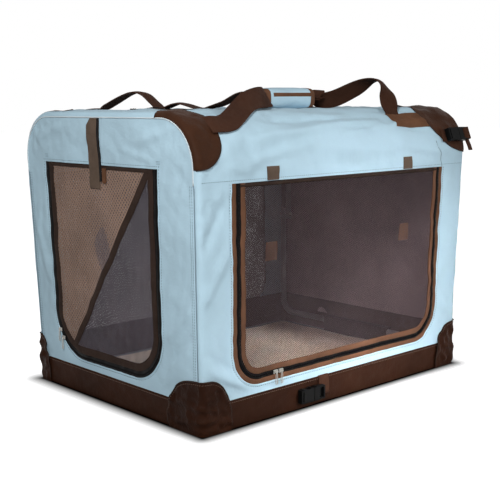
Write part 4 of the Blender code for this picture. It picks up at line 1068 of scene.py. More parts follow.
rim_piping, patch_seams = [], []
bottom_patch("front_left_bottom_patch", -1, -1, 0.086, 0.060, 201)
bottom_patch("front_right_bottom_patch", 1, -1, 0.086, 0.060, 211)
bottom_patch("back_left_bottom_patch", -1, 1, 0.036, 0.086, 221)
bottom_patch("back_right_bottom_patch", 1, 1, 0.036, 0.086, 231)
cord_piece("bottom_patch_piping", rim_piping, 0.0012, piping_brown, "base", sides=6)


# %% [markdown]
# The top patches wrap the rounded roof edge. The two over the strapped end are half ovals and
# the two at the other end run further along the roof. Their outlines are the CAD's, as shares
# of the reach along the roof and of the span over the edge, drawn smooth here.


# %% Top patches
LEFT_SHARES = ((0.0, 0.0), (0.42, 0.02), (0.74, 0.10), (0.95, 0.26), (1.0, 0.48), (0.97, 0.72),
               (0.84, 0.92), (0.80, 1.0))
RIGHT_SHARES = ((0.0, 0.0), (0.22, 0.02), (0.48, 0.08), (0.70, 0.20), (0.86, 0.38), (0.95, 0.66),
                (1.0, 0.96), (1.0, 1.0))
TOP_PATCH_SPAN = 0.146
TOP_PATCH_LEFT, TOP_PATCH_RIGHT = 0.060, 0.108
LEFT_LOW, RIGHT_LOW = 0.064, 0.078


def smooth_rows(rows, steps):
    # Catmull-Rom through rows of numbers.
    rows = np.array(rows, float)
    rows = np.concatenate([[rows[0] * 2 - rows[1]], rows, [rows[-1] * 2 - rows[-2]]])
    out = []
    for a, b, c, d in zip(rows, rows[1:], rows[2:], rows[3:]):
        for i in range(steps):
            t = i / steps
            square = (a * 2 - b * 5 + c * 4 - d) * t**2
            out.append((b * 2 + (c - a) * t + square + (b * 3 - a - c * 3 + d) * t**3) / 2)
    out.append(rows[-2])
    return np.array(out)


def roof_edge_run(up):
    # A share of the span over the rounded edge, as a length s from the hem.
    root = math.sqrt(0.5)
    middle = (SPRING - FLAT_HALF) * root
    offset = TOP_PATCH_SPAN * (up - 0.5)
    angle = math.pi / 4 + np.arcsin(np.clip(offset / ROOF_ROUND, -0.99, 0.99))
    low = (middle + offset) / root + WIDTH / 2 - CAP_LOW
    high = SIDE_RISE + ROOF_ARC + (middle + offset) / root - HEIGHT + FLAT_HALF
    return np.where(angle < 0, low, np.where(angle > math.pi / 2, high, SIDE_RISE + ROOF_ROUND * angle))


def top_patch(name, end, side, seed, lift=1.0, inset=0.0):
    reach, shares, low_up = (
        (TOP_PATCH_LEFT, LEFT_SHARES, LEFT_LOW) if end < 0 else (TOP_PATCH_RIGHT, RIGHT_SHARES, RIGHT_LOW))
    along, up = np.clip(smooth_rows(shares, 7), 0, None).T
    up = low_up + (1 - low_up) * np.clip(up, None, 1)
    s = roof_edge_run(np.maximum.accumulate(up))
    distance = np.maximum(along * reach + (WALL_REACH - LENGTH / 2), inset + 0.002 if inset else 0.0)
    share = np.concatenate([np.linspace(0, 0.25, 9), np.linspace(0.25, 1, 18)[1:]])
    d = inset + (distance[:, None] - inset) * share[None, :]
    x = end * (WALL_REACH - d)
    s_grid = np.broadcast_to(s[:, None], x.shape)
    left = distance[:, None] - d
    hem = 1 - np.minimum(ease(left, 0, 0.0030), ease(s_grid - s[0], 0, 0.004))
    calm = ease(left, 0.002, 0.016) * ease(d, 0.002, 0.020)
    fine = np.maximum(0.0011 * ripple(x, s_grid, seed, 0.018, 0.050), -0.0007)
    out = (0.0023 + fine * calm - 0.0010 * hem) * lift * (0.25 + 0.75 * ease(d - inset, 0.001, 0.008))

    def place(x, s, out):
        return on_roof(x, s if side < 0 else ROOF_SPAN - s, out)

    sewn(name + "_cloth", [laid(place, x, s_grid, out)], PATCH_CLOTH, patch_brown, "roof", [name],
         "brown_cloth")
    edge_x = end * (WALL_REACH - distance)
    top_x = np.linspace(edge_x[-1], end * (WALL_REACH - inset), 10)[1:]
    line_s = np.concatenate([s, np.full(len(top_x), s[-1])])
    top_piping.append(place(np.concatenate([edge_x, top_x]), line_s, 0.0014 * lift))


top_piping = []
top_patch("front_left_top_patch", -1, -1, 241)
top_patch("back_left_top_patch", -1, 1, 251, 0.45, 0.014)
top_patch("front_right_top_patch", 1, -1, 261)
top_patch("back_right_top_patch", 1, 1, 271)
cord_piece("top_patch_piping", top_piping, 0.0011, piping_brown, "roof", sides=6)


# %% [markdown]
# ## The long zip door
# From the blue cloth inwards there is a tan tape, the black coil of the zip, a tan binding and
# the mesh. The tape and the coil stay on the wall; the binding and the mesh swing up.


# %% Front door strips
COIL_PITCH = 0.0015


def zip_coil(name, place, door, top, outer, inner, out, node_name):
    # A low nylon ridge with one small bar across it for each turn of the coil.
    strip = door_strip(place, door, top, outer, inner, crowned(out - 0.0009, 0.0009))
    sewn(name, [strip], TAPE, black_nylon, "base", [node_name], "coil", held=None)
    path = u_path(door, (outer + inner) / 2, top - 0.001)
    teeth = [seam_on(place, path[:, 0], path[:, 1], out + 0.0001)]
    along_paths(name + "_teeth", teeth, tooth_item, COIL_PITCH, black_nylon, "base")


tape = door_strip(front_place, FRONT_DOOR, FRONT_TOP, -0.0040, 0.0115, level(-0.0007))
sewn("front_zip_tape_cloth", [tape], 0.0009, tan_webbing, "base", ["front_zip_tape"], "webbing")
fold = door_strip(front_place, FRONT_DOOR, FRONT_TOP, 0.0004, 0.0088, crowned(-0.0009, 0.0011), 9)
sewn("front_zip_tape_ridge", [fold], FINE_TAPE, tan_webbing, "base", slot="webbing")
zip_coil("front_zip_coil_ridge", front_place, FRONT_DOOR, FRONT_TOP, 0.0088, 0.0184, 0.0006, "front_zip_coil")


def door_binding(word, place, door, top, outer, inner, rise, finish, slot):
    # The strip round three sides and the hem across the top, which laps over its ends.
    strip = door_strip(place, door, top, outer, inner, crowned(0.0001, rise), 9)
    name, body = word + "_door_", word + "_door"
    sewn(name + "binding_tape", [strip], BINDING, finish, body, [name + "binding"], slot)
    half = door["half"] - outer
    a, t = flat_grid((door["middle"] - half, door["middle"] + half), (0, 1), 90, 7)
    # The upper edge tucks in under the roof's hem, so that it has room when the door swings up.
    tuck = 0.0028 * (1 - ease(t, 0, 0.45))
    hem = laid(place, a, top - 0.007 * t, 0.0005 + rise * crown(2 * t - 1, 2.6) - tuck)
    sewn(name + "top_hem", [hem], BINDING, binding_brown, body, slot=slot)


door_binding("front", front_place, FRONT_DOOR, FRONT_TOP, 0.0182, 0.0284, 0.0012, binding_tan, "webbing")


def net_piece(name, place, door, inset, top, out, finish, body, node_name, sag, seed):
    # The mesh runs under its binding and is a little slack between its edges.
    path = u_path(door, inset, top)
    half = len(path) // 2
    left, right = path[:half + 1], path[half:][::-1]
    count = min(len(left), len(right))
    left, right = left[:count], right[:count]
    grid = left[:, None] + (right - left)[:, None] * np.linspace(0, 1, 70)[None, :, None]
    a, z = grid[..., 0], grid[..., 1]
    width = door["half"] - inset
    near = np.minimum(width - np.abs(a - door["middle"]), np.minimum(z - DOOR_LOW - inset, top - z))
    slack = sag * ripple(a, z, seed, 0.090, 0.260) * ease(near, 0, 0.060)
    sewn(name, [laid(place, a, z, out + slack)], NET_CLOTH, finish, body, [node_name], "mesh")


net_piece("front_door_net", front_place, FRONT_DOOR, 0.0262, FRONT_TOP - 0.005, -0.0006, door_net,
          "front_door", "front_door_mesh", 0.0011, 301)


# %% [markdown]
# ## The end door
# It has the black coil outermost, then a wide brown binding and the mesh. A second layer behind
# the mesh fills the corner above a bound diagonal edge, in a lighter and coarser net.

# %% End door
NET_INSET = 0.0238
zip_coil("left_zip_coil_ridge", left_place, LEFT_DOOR, END_TOP, -0.0020, 0.0120, 0.0002, "left_zip_coil")
door_binding("left", left_place, LEFT_DOOR, END_TOP, 0.0116, 0.0256, 0.0008, binding_brown, "brown_cloth")
net_piece("left_door_net", left_place, LEFT_DOOR, NET_INSET, END_TOP - 0.005, -0.0006, end_net,
          "left_door", "left_door_mesh", 0.0009, 311)

LINING_HIGH, LINING_LOW = np.array((-0.131, 0.4245)), np.array((0.124, 0.0905))
DIAGONAL = LINING_LOW - LINING_HIGH
DIAGONAL_LENGTH, BINDING_HALF = 0.42, 0.007


def lining_grid():
    # Rows run down the left side of the door; each row ends on the diagonal or at the side.
    z = np.linspace(END_TOP - 0.006, LINING_LOW[1], 60)
    share = (z - LINING_LOW[1]) / -DIAGONAL[1]
    right_y = LINING_LOW[0] - DIAGONAL[0] * np.clip(share, 0, 1)
    radius = LEFT_DOOR["radius"] - NET_INSET
    below = np.clip(DOOR_LOW + NET_INSET + radius - z, 0, radius)
    left_y = LEFT_DOOR["middle"] + LEFT_DOOR["half"] - NET_INSET - (radius - np.sqrt(radius**2 - below**2))
    y = left_y[:, None] + (right_y - left_y)[:, None] * np.linspace(0, 1, 40)[None, :]
    return laid(left_place, y, z[:, None], 0.0001)


def diagonal_binding():
    t = np.linspace(0, 1, 60)[:, None]
    w = np.linspace(-BINDING_HALF, BINDING_HALF, 5)[None, :]
    across = unit(np.array([DIAGONAL[1], -DIAGONAL[0]]))
    y = LINING_HIGH[0] + DIAGONAL[0] * t + across[0] * w
    z = LINING_HIGH[1] + DIAGONAL[1] * t + across[1] * w
    return left_place(y, z, 0.0006 + 0.0008 * crown(w / BINDING_HALF)), uv_grid(t * DIAGONAL_LENGTH, w)


sewn("left_door_lining_net", [lining_grid()], NET_CLOTH, coarse_net, "left_door", ["left_door_lining"],
     "mesh")
sewn("left_door_lining_binding", [diagonal_binding()], TAPE, binding_brown, "left_door",
     slot="brown_cloth")


# %% [markdown]
# ## Windows
# The back wall and the far end have fixed windows of a denser mesh, seen from inside through
# the doors. Brown tapes cover the seams inside the corners and along the base.

# %% Windows and inside tapes
WINDOW_Z, BAND_TAPE_Z = (0.052, 0.405), (0.040, 0.082)
WINDOW_HALF = 0.245
net_piece("back_window_net", back_place, FRONT_DOOR, -0.004, WINDOW_TOP + 0.004, -0.0030, window_net,
          "base", "back_window", 0.0010, 321)
y, z = flat_grid((-WINDOW_HALF, WINDOW_HALF), WINDOW_Z, 60, 50)
sag = 0.0014 * ripple(y, z, 331, 0.08, 0.22) * ease(WINDOW_HALF - np.abs(y), 0, 0.05)
window = laid(right_place, y, z, -0.0044 + sag)
sewn("right_window_net", [window], 0.0005, dense_net, "base", ["right_window"], "mesh")
for word, place, half in (("back", back_place, 0.335), ("right", right_place, WINDOW_HALF)):
    band = laid(place, *flat_grid((-half, half), BAND_TAPE_Z, 60, 8), -0.0054)
    sewn("inside_band_" + word, [band], TAPE, brown_cloth, "base", slot="brown_cloth", outward=False)
a, z = flat_grid((-0.006, 0.006), WINDOW_Z, 5, 40)
for end, word in ((-1, "left"), (1, "right")):
    for side, other in ((-1, "front"), (1, "back")):
        points = lean(np.stack([end * (0.3386 - a * 0.9), side * (0.2485 + a * 0.75), z], -1))
        sewn("inside_corner_tape_" + other + "_" + word, [(points, uv_grid(a, z))], TAPE, binding_brown,
             "base", slot="brown_cloth", outward=False)


# %% [markdown]
# ## Tabs and the end strap
# Small sewn tabs hold the rolled-up door. A longer strap hangs from the roof's end over the top
# of the end door, next to a black hook strip.


# %% Tabs and straps
TAB_X = (("left", -0.187), ("right", 0.169))
TAB_HALF = 0.013
STRAP_TOP = 0.512


def tab(name, place, x, z, out, finish, body, node_name, curl):
    grid_x, grid_z = flat_grid((x - TAB_HALF, x + TAB_HALF), z, 7, 14)
    rise = curl * crown((grid_x - x) / TAB_HALF, 3)
    grid = place(grid_x, grid_z, out + rise), uv_grid(grid_z, grid_x)
    sewn(name, [grid], PATCH_CLOTH, finish, body, [node_name], "webbing")


for word, x in TAB_X:
    tab("hem_tab_" + word + "_webbing", roof_front, x, (0.4330, CAP_LOW + 0.0012), 0.0016, strap_webbing,
        "roof", "hem_tab_" + word, 0.0004)
    tab("front_door_tab_" + word + "_webbing", front_place, x, (0.306, 0.274), -0.0030, tan_webbing,
        "front_door", "front_door_tab_" + word, -0.0004)


def hanging(name, y, z, out, thickness, finish, nodes=(), slot="webbing"):
    grid = left_place(y, z, out), uv_grid(z, y)
    sewn(name, [grid], thickness, finish, "door_strap", nodes, slot, held="hung")


t, strap_z = flat_grid((0, 1), (STRAP_TOP, 0.390), 9, 60)
y = 0.0065 + 0.0310 * t
slant = np.clip((strap_z - 0.500) / 0.012, 0, 1) * 0.010
y = y - slant * np.clip(y - 0.022, 0, None) / 0.0155
drop = STRAP_TOP - strap_z
lift = 0.0020 + 0.0014 * hill(drop, 0.0, 0.02, 0.060, 0.118) + 0.0006 * ease(0.43 - strap_z, 0, 0.03)
hanging("left_door_strap_webbing", y, strap_z, lift + 0.0006 * crown(2 * t - 1, 3), WEBBING, strap_webbing,
        ["left_door_strap"])
y, z = flat_grid((0.0008, 0.0064), (STRAP_TOP, 0.403), 5, 50)
lift = 0.0024 + 0.0012 * hill(STRAP_TOP - z, 0.0, 0.02, 0.060, 0.110)
hanging("left_door_hook_strip_pile", y, z, lift, PATCH_CLOTH, hook_strip, ["left_door_hook_strip"], "coil")
y, z = flat_grid((-0.0120, -0.0018), (0.426, 0.400), 5, 14)
hanging("left_door_strap_end", y, z, 0.0026, PATCH_CLOTH, tan_webbing)
print(len(finished), "pieces dressed")


# %% [markdown]
# ## The carry handle
# Two webbing straps run from the corner patches, through a padded grip, to the other patches.
# Each row of the tables is a place as shares of the half length and half width, a rise as a
# share of 60 mm above the roof, and how far the strap is turned on edge, in degrees.


# %% Handle tables
FRONT_WEB = ((-0.565, -0.762, 0.09, -32), (-0.480, -0.712, 0.26, -50), (-0.360, -0.640, 0.35, -64),
             (-0.262, -0.560, 0.34, -62), (-0.225, -0.450, 0.30, -20))
FRONT_WEB_RIGHT = ((0.275, -0.365, 0.24, 42), (0.345, -0.430, 0.30, 58), (0.420, -0.530, 0.58, 48),
                   (0.466, -0.640, 0.86, 14), (0.492, -0.705, 0.84, 2), (0.506, -0.750, 0.50, 0),
                   (0.500, -0.795, 0.00, 0))
BACK_WEB = ((-0.660, 0.800, -0.08, 20), (-0.600, 0.765, 0.00, 10), (-0.565, 0.700, 0.18, 5),
            (-0.524, 0.580, 0.46, 0), (-0.498, 0.503, 0.55, 0), (-0.474, 0.430, 0.46, 0),
            (-0.452, 0.362, 0.20, 0), (-0.433, 0.300, 0.03, 0), (-0.391, 0.176, 0.19, 0),
            (-0.342, 0.027, 0.03, 0), (-0.316, -0.060, 0.06, 0), (-0.300, -0.190, 0.22, 0),
            (-0.262, -0.300, 0.50, 0))
BACK_WEB_RIGHT = ((0.287, -0.300, 0.56, 0), (0.330, -0.195, 0.34, 0), (0.343, -0.060, 0.21, 0),
                  (0.360, 0.120, 0.15, 0), (0.395, 0.330, 0.18, 0), (0.440, 0.520, 0.38, 5),
                  (0.500, 0.680, 0.42, 12))
WEB_WIDTH, WEB_THICKNESS, HANDLE_RISE = 0.038, 0.0018, 0.060
GRIP_X, GRIP_Y, GRIP_Z = 0.005, -0.090, 0.5433
GRIP_LENGTH, GRIP_WIDTH, GRIP_HEIGHT = 0.140, 0.060, 0.040
STRAP_TILT, SOFT_TILT = 40.5, 37.8
STRAPS = (("front", -1, FRONT_WEB, FRONT_WEB_RIGHT, -0.0016),
          ("back", 1, BACK_WEB, BACK_WEB_RIGHT, 0.0016))


def edge_row(x, side, share, lift, turn):
    angle = math.pi / 2 * share
    radius = ROOF_ROUND + 0.0003 + WEB_THICKNESS + lift
    return (x, side * (FLAT_HALF + radius * math.cos(angle)), SPRING + radius * math.sin(angle), side * turn)


def web_row(row):
    return (row[0] * LENGTH / 2, row[1] * WIDTH / 2, HEIGHT + row[2] * HANDLE_RISE + WEB_THICKNESS, row[3])


def strap_rows(side, left, right, stack):
    # The left and the right half of one strap, each from its patch to the middle of the grip.
    left_x = TOP_PATCH_LEFT - LENGTH / 2 + 0.001
    right_x = LENGTH / 2 - TOP_PATCH_RIGHT - 0.001
    half = GRIP_LENGTH / 2
    in_grip = [(GRIP_X + x, GRIP_Y, GRIP_Z + stack, 0) for x in (-half - 0.012, -half, -half / 2, 0.0)]
    out_grip = [(GRIP_X + x, GRIP_Y, GRIP_Z + stack, 0) for x in (0.0, half / 2, half, half + 0.012)]
    first = [edge_row(left_x - 0.012, side, 0.55, -0.0014, STRAP_TILT),
             edge_row(left_x, side, 0.55, 0.0012, STRAP_TILT),
             edge_row(left_x + 0.034, side, 0.58, 0.001, SOFT_TILT)]
    last = [edge_row(right_x - 0.034, side, 0.58, 0.002, SOFT_TILT),
            edge_row(right_x, side, 0.55, 0.0012, STRAP_TILT),
            edge_row(right_x + 0.012, side, 0.55, -0.0014, STRAP_TILT)]
    if side < 0:
        last = [(0.1750, -0.2130, 0.5115, 0)]
    return first + [web_row(row) for row in left] + in_grip, out_grip + [web_row(row) for row in right] + last


# %% [markdown]
# A strap is a strip swept along the smooth path, nine points wide. Its edges are a little
# lower than its middle, as woven webbing curls.

# %% Build the straps
def strap_grid(rows, columns=9, steps=9):
    path = smooth_rows(rows, steps)
    points, turn = path[:, :3], np.radians(path[:, 3])[:, None]
    along = unit(np.gradient(points, axis=0))
    flat = unit(np.cross(along, (0, 0, 1.0)))
    side = flat * np.cos(turn) + np.cross(flat, along) * np.sin(turn)
    normal = np.cross(side, along)
    across = np.linspace(-WEB_WIDTH / 2, WEB_WIDTH / 2, columns)
    curl = -0.0010 * np.abs(across / (WEB_WIDTH / 2)) ** 3 + 0.0003 * np.cos(across / WEB_WIDTH * 9)
    grid = points[:, None] + side[:, None] * across[None, :, None] + normal[:, None] * curl[None, :, None]
    return grid, uv_grid(path_length(points)[:, None], across[None, :])


def handle_strap(name, rows, node_name, start, end):
    grid, uv = strap_grid(rows)
    obj = new_object(name, cloth_mesh(name, [(grid, uv)]))
    flat = float(uv[-1, 0, 0]), WEB_WIDTH
    area = min(cloth_area(obj.data), flat[0] * flat[1])
    thicken(obj, WEB_THICKNESS, 0.0)
    obj.data.materials.append(brown_webbing)
    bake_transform(obj)
    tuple(start)
    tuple(end)
    if node_name:
        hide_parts(node_name)
    finished[name] = len(obj.data.polygons)
    sheets.append((obj, flat, area, "stretched", ["handle_grip_padding", "roof_cloth"]))


for word, side, left, right, stack in STRAPS:
    name = "handle_strap_" + word
    first, second = strap_rows(side, left, right, stack)
    handle_strap(name + "_left", first, name, first[1][:3], first[-3][:3])
    handle_strap(name + "_right", second, None, second[-2][:3], second[2][:3])


# %% [markdown]
# The front strap ends on a lighter strip of webbing that is sewn flat along the roof edge and
# runs on under the right corner patch.

# %% Anchor strip
ANCHOR_S = SIDE_RISE + ROOF_ARC * 0.55
x, s = flat_grid((0.152, 0.256), (ANCHOR_S - WEB_WIDTH / 2, ANCHOR_S + WEB_WIDTH / 2), 50, 9)
anchor = laid(on_roof, x, s, 0.0012 + 0.0005 * crown((s - ANCHOR_S) / (WEB_WIDTH / 2), 4))
sewn("handle_anchor_webbing", [anchor], BINDING, tan_webbing, "roof", slot="webbing")


# %% [markdown]
# ## Padded pieces
# A pad swells from a slightly small shape. Its mesh is remeshed evenly, pressure blows it up in
# a short cloth simulation, and no point may move further than a cap, so that it keeps its room.


# %% Swelling a pad
PRESSURE, FRAMES = 3.0, 20


def blown_up(obj, cap):
    before = vertex_places(obj.data)
    cloth = obj.modifiers.new("Cloth", "CLOTH")
    cloth.settings.use_pressure = True
    cloth.settings.uniform_pressure_force = PRESSURE
    cloth.settings.effector_weights.gravity = 0
    cloth.point_cache.frame_start, cloth.point_cache.frame_end = 1, FRAMES
    for number in range(1, FRAMES + 1):
        bpy.context.scene.frame_set(number)
    applied(obj)
    bpy.context.scene.frame_set(1)
    move = vertex_places(obj.data) - before
    far = np.linalg.norm(move, axis=1)
    limit = np.minimum(1, cap / np.maximum(far, 1e-9))
    obj.data.vertices.foreach_set("co", (before + move * limit[:, None]).ravel())
    print(obj.name, "swelled by up to", round(float(far.max()) * 1000, 1), "mm, capped at", cap * 1000)


def swell(name, mesh, voxel, cap):
    obj = new_object(name, mesh)
    remesh = obj.modifiers.new("Remesh", "REMESH")
    remesh.mode, remesh.voxel_size = "VOXEL", voxel
    applied(obj)
    blown_up(obj, cap)
    finer = obj.modifiers.new("Finer", "SUBSURF")
    finer.levels = finer.render_levels = 1
    smooth_shade(applied(obj).data)
    return obj


def smooth_shade(mesh):
    for face in mesh.polygons:
        face.use_smooth = True
    return mesh


def rounded_block(name, centre, size, bevel, segments=4):
    work = bmesh.new()
    bmesh.ops.create_cube(work, size=1.0)
    bmesh.ops.scale(work, vec=size, verts=work.verts)
    bmesh.ops.bevel(work, geom=list(work.edges), offset=bevel, segments=segments, profile=0.5, affect="EDGES")
    bmesh.ops.translate(work, vec=centre, verts=work.verts)
    bmesh.ops.recalc_face_normals(work, faces=work.faces)
    return mesh_from(name, work)


# %% [markdown]
# The grip is a padded blue wrap that closes round both straps. Brown binding runs along its top
# edges and round both ends, and a brown end piece shows beside the straps.

# %% Grip
PAD_X = GRIP_X - 0.004
grip_mesh = rounded_block("handle_grip_padding", (PAD_X, GRIP_Y, GRIP_Z),
                          (GRIP_LENGTH - 0.011, GRIP_WIDTH - 0.003, GRIP_HEIGHT - 0.004), 0.011)
grip = swell("handle_grip_padding", grip_mesh, 0.004, 0.0018)


def object_uv(obj):
    # A plain box projection in metres, for a piece that was remeshed.
    layer = obj.data.uv_layers.new(name="cloth")
    places = vertex_places(obj.data)
    for face in obj.data.polygons:
        axis = int(np.argmax(np.abs(face.normal)))
        keep = [i for i in range(3) if i != axis]
        for index in face.loop_indices:
            layer.data[index].uv = places[obj.data.loops[index].vertex_index][keep]


object_uv(grip)
grip.data.materials.append(blue_cloth)
grip.data.materials.append(brown_cloth)
for face in grip.data.polygons:
    face.material_index = int(abs(face.center.x - PAD_X) > GRIP_LENGTH / 2 - 0.0085)
dress(grip, "handle", blue_cloth, ["handle_grip"])
grip_tree = BVHTree.FromObject(grip, bpy.context.evaluated_depsgraph_get())


def on_grip(x, angle, out):
    # A point on the grip seen from its long axis, 0 towards the back and 90 degrees up.
    x, angle, out = same_shape(x, angle, out)
    points = np.zeros((*x.shape, 3))
    for index in np.ndindex(x.shape):
        ray = Vector((0, math.cos(angle[index]), math.sin(angle[index])))
        start = Vector((x[index], GRIP_Y, GRIP_Z)) + ray * 0.06
        hit = grip_tree.ray_cast(start, -ray)[0] or start - ray * 0.04
        points[index] = hit + ray * out[index]
    return points


def grip_strip(name, x, angle, run, across):
    rise = 0.0012 * crown(np.linspace(-1, 1, 9), 3)[None, :] - 0.0002
    sewn(name, [(on_grip(x, angle, rise), uv_grid(run, across))], BINDING, binding_tan, "handle",
         slot="webbing", centre=(GRIP_X, GRIP_Y, GRIP_Z))


turn = np.linspace(0, 2 * math.pi, 73)[:, None]
for end, word, half in ((-1, "left", 0.0036), (1, "right", 0.0085)):
    edge = np.linspace(-half, half, 9)[None, :]
    x = PAD_X + end * (GRIP_LENGTH / 2 - 0.0075 - half * 0.9) + edge
    grip_strip("grip_end_binding_" + word, x, turn, turn * 0.027, edge)
line = np.linspace(-GRIP_LENGTH / 2 + 0.016, GRIP_LENGTH / 2 - 0.026, 50)[:, None]
fan = np.linspace(-0.13, 0.13, 9)[None, :]
for word, middle in (("front", math.radians(167)), ("back", math.radians(32))):
    grip_strip("grip_edge_binding_" + word, GRIP_X + line, middle + fan, line, fan * 0.04)


# %% [markdown]
# ## The mat
# A fleece mat lies on the floor. It is soft, so it swells between its edges, and it has a few
# long creases from being folded with the crate. Its corners are drawn round.

# %% Mat
MAT_SIZE, MAT_CORNER = (0.592, 0.422, 0.019), 0.030
MAT_LOW = 0.0033
MAT_FOLDS = (
    (-200, -190, 60, 60, 12, -5), (-60, -200, 200, 40, 14, -4.5),
    (-270, -60, -80, 150, 12, -4), (80, -190, 270, -20, 12, -4),
    (-100, 50, 120, 190, 14, -3.5), (-280, -190, -140, -80, 10, -4.5),
)


def creased(places):
    x, y, z = places.T
    calm = ease(z, 0.014, 0.022) * ease(np.minimum(0.296 - np.abs(x), 0.211 - np.abs(y)), 0.0, 0.04)
    z = z + calm * (folds(x, y, MAT_FOLDS) + 0.0016 * ripple(x, y, 401, 0.05, 0.16) + 0.001)
    flat = np.stack([x, y], 1)
    inner = np.array(MAT_SIZE[:2]) / 2 - MAT_CORNER
    corner = np.abs(flat) - inner
    past = np.linalg.norm(np.clip(corner, 0, None), axis=1)
    both = (corner > 0).all(axis=1) & (past > MAT_CORNER)
    drawn = np.clip(corner, 0, None) * (MAT_CORNER / np.maximum(past, 1e-6))[:, None]
    flat = np.where(both[:, None], np.sign(flat) * (inner + drawn), flat)
    return np.column_stack([flat, np.maximum(z, MAT_LOW + 0.0001)])


mat_mesh = rounded_block("floor_mat_padding", (0, 0, MAT_LOW + 0.0105), MAT_SIZE, 0.007)
mat_pad = swell("floor_mat_padding", mat_mesh, 0.0055, 0.0035)
mat_pad.data.vertices.foreach_set("co", creased(vertex_places(mat_pad.data)).ravel())
mat_pad.data.update()
dress(mat_pad, "base", mat_fleece, ["floor_mat"])


# %% [markdown]
# ## The steel frame
# The frame is bent steel tube: a loop in the base, a loop under the roof, and a two-part leg at
# each end that folds at its knees. A tube swept along a smooth path has no facets at the bends.


# %% Tube paths
TUBE, FRAME_X, KNEE_Z, ROOF_TUBE_Z = 0.0065, 0.320, 0.2744, 0.5088
KNEE_PARTS = (("pins", 0.232, 0.2085, 0.0025, 8), ("heads", 0.2097, 0.2077, 0.0045, 16),
              ("caps", 0.2383, 0.2398, 0.0042, 16))


def bend(centre, radius, start, end, steps=10):
    angle = np.radians(np.linspace(start, end, steps + 1))
    return np.stack([centre[0] + radius * np.cos(angle), centre[1] + radius * np.sin(angle)], 1)


def round_loop(half_x, half_y, radius, z):
    flat = np.concatenate([bend((sx * (half_x - radius), sy * (half_y - radius)), radius, start, start + 90)
                           for sx, sy, start in ((1, 1, 0), (-1, 1, 90), (-1, -1, 180), (1, -1, 270))])
    return np.column_stack([flat, np.full(len(flat), z)])


def leg(x, half_y, radius, foot, turn_z, up):
    # A U in the plane x, from one foot round to the other; up is 1 or -1.
    centre, middle, start = up * (half_y - radius), turn_z - up * radius, 90 - 90 * up
    turns = [bend((centre, middle), radius, start, start + 90),
             bend((-centre, middle), radius, start + 90, start + 180)]
    flat = np.concatenate([[(up * half_y, foot)], *turns, [(-up * half_y, foot)]])
    return np.column_stack([np.full(len(flat), x), flat])


def frame_tube(name, node_name, line, body, closed=False):
    cord_piece(name + "_tube", [line], TUBE, steel_coat, body, [node_name], 16, closed)


frame_tube("base_frame", "base_frame", round_loop(FRAME_X, 0.236, 0.030, 0.0098), "base", True)
frame_tube("roof_frame", "roof_frame", round_loop(0.295, 0.165, 0.040, ROOF_TUBE_Z), "roof", True)
for end, word in ((-1, "left"), (1, "right")):
    x, lower, upper = end * FRAME_X, word + "_lower", word + "_upper"
    for part, first_y, last_y, radius, sides in KNEE_PARTS:
        pins = [[(x, side * first_y, KNEE_Z), (x, side * last_y, KNEE_Z)] for side in (-1, 1)]
        cord_piece(word + "_knee_" + part, pins, radius, plated_zinc, lower, sides=sides)
    frame_tube(lower, lower + "_frame", leg(x, 0.232, 0.030, KNEE_Z + 0.011, 0.040, -1), lower)
    frame_tube(upper, upper + "_frame", leg(x, 0.2165, 0.085, KNEE_Z - 0.011, ROOF_TUBE_Z, 1), upper)


# %% [markdown]
# The hinge blocks are plain bored plastic, and the CAD's own shape is right for them. They only
# get the plastic's finish.

# %% CAD pieces that keep their shape
for word in ("left_base", "left_roof", "right_base", "right_roof"):
    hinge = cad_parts[word + "_hinge"]
    hinge.data.materials.clear()
    hinge.data.materials.append(black_plastic)


# %% [markdown]
# ## Zip sliders and pulls
# A slider is a small cast body with a bridge, and its pull is a thin wire loop, two on each
# door. Local X runs along the zip and local -Y points away from the cloth, as in the CAD.


# %% Slider shapes
FACE_FRONT = Matrix.Identity(3)
FACE_LEFT = Matrix(((0, 1, 0), (-1, 0, 0), (0, 0, 1)))
FACE_ROOF = Matrix(((1, 0, 0), (0, 0, 1), (0, -1, 0)))
PIN_OUT = 0.0038
PULL_WIDTH, PULL_LENGTH, PULL_WIRE = 0.0056, 0.0220, 0.00062
PROUD = 0.0003


def lean_place(x, y, z):
    return Vector(lean(np.array([x, y, z], float)))


def slider_mesh(name, matrix, with_bridge=True):
    # A waisted plate, a raised shoulder at each end and the bridge that holds the pull.
    meshes = [rounded_block(name, (0, -0.0011, 0), (0.0100, 0.0022, 0.0070), 0.0009, 3),
              rounded_block(name, (0.0028, -0.0020, 0), (0.0034, 0.0014, 0.0052), 0.0006, 3)]
    if with_bridge:
        rise = bend((0, 0), 0.0034, 180, 360, 12)
        line = np.column_stack([rise[:, 0] * 1.25, -0.0019 + rise[:, 1] * 0.82, np.zeros(len(rise))])
        meshes.append(smooth_shade(tube_mesh(name, line, 0.0006)))
    return join_meshes(name, meshes, matrix)


def loop_mesh(name, matrix):
    # A long wire loop, narrow at the pin and wide at its foot, with a bar across it.
    t = np.linspace(0, 2 * math.pi, 49)[:-1]
    down = -0.5 * PULL_LENGTH + 0.5 * PULL_LENGTH * np.cos(t)
    half = PULL_WIDTH / 2 * (0.30 + 0.70 * np.clip(-down / PULL_LENGTH, 0, 1) ** 0.8)
    across = half * np.sign(np.sin(t)) * np.abs(np.sin(t)) ** 0.55
    line = np.column_stack([across, np.full(len(t), -PIN_OUT), down + 0.0004])
    bar = [(side * PULL_WIDTH * 0.28, -PIN_OUT, -PULL_LENGTH * 0.80) for side in (-1, 1)]
    wires = [tube_mesh(name, line, PULL_WIRE, 8, True), tube_mesh(name, bar, PULL_WIRE * 0.8, 6)]
    return join_meshes(name, [smooth_shade(wire) for wire in wires], matrix)


def metal_piece(name, mesh, body, node_name):
    dress(new_object(name, mesh), body, plated_zinc, [node_name])


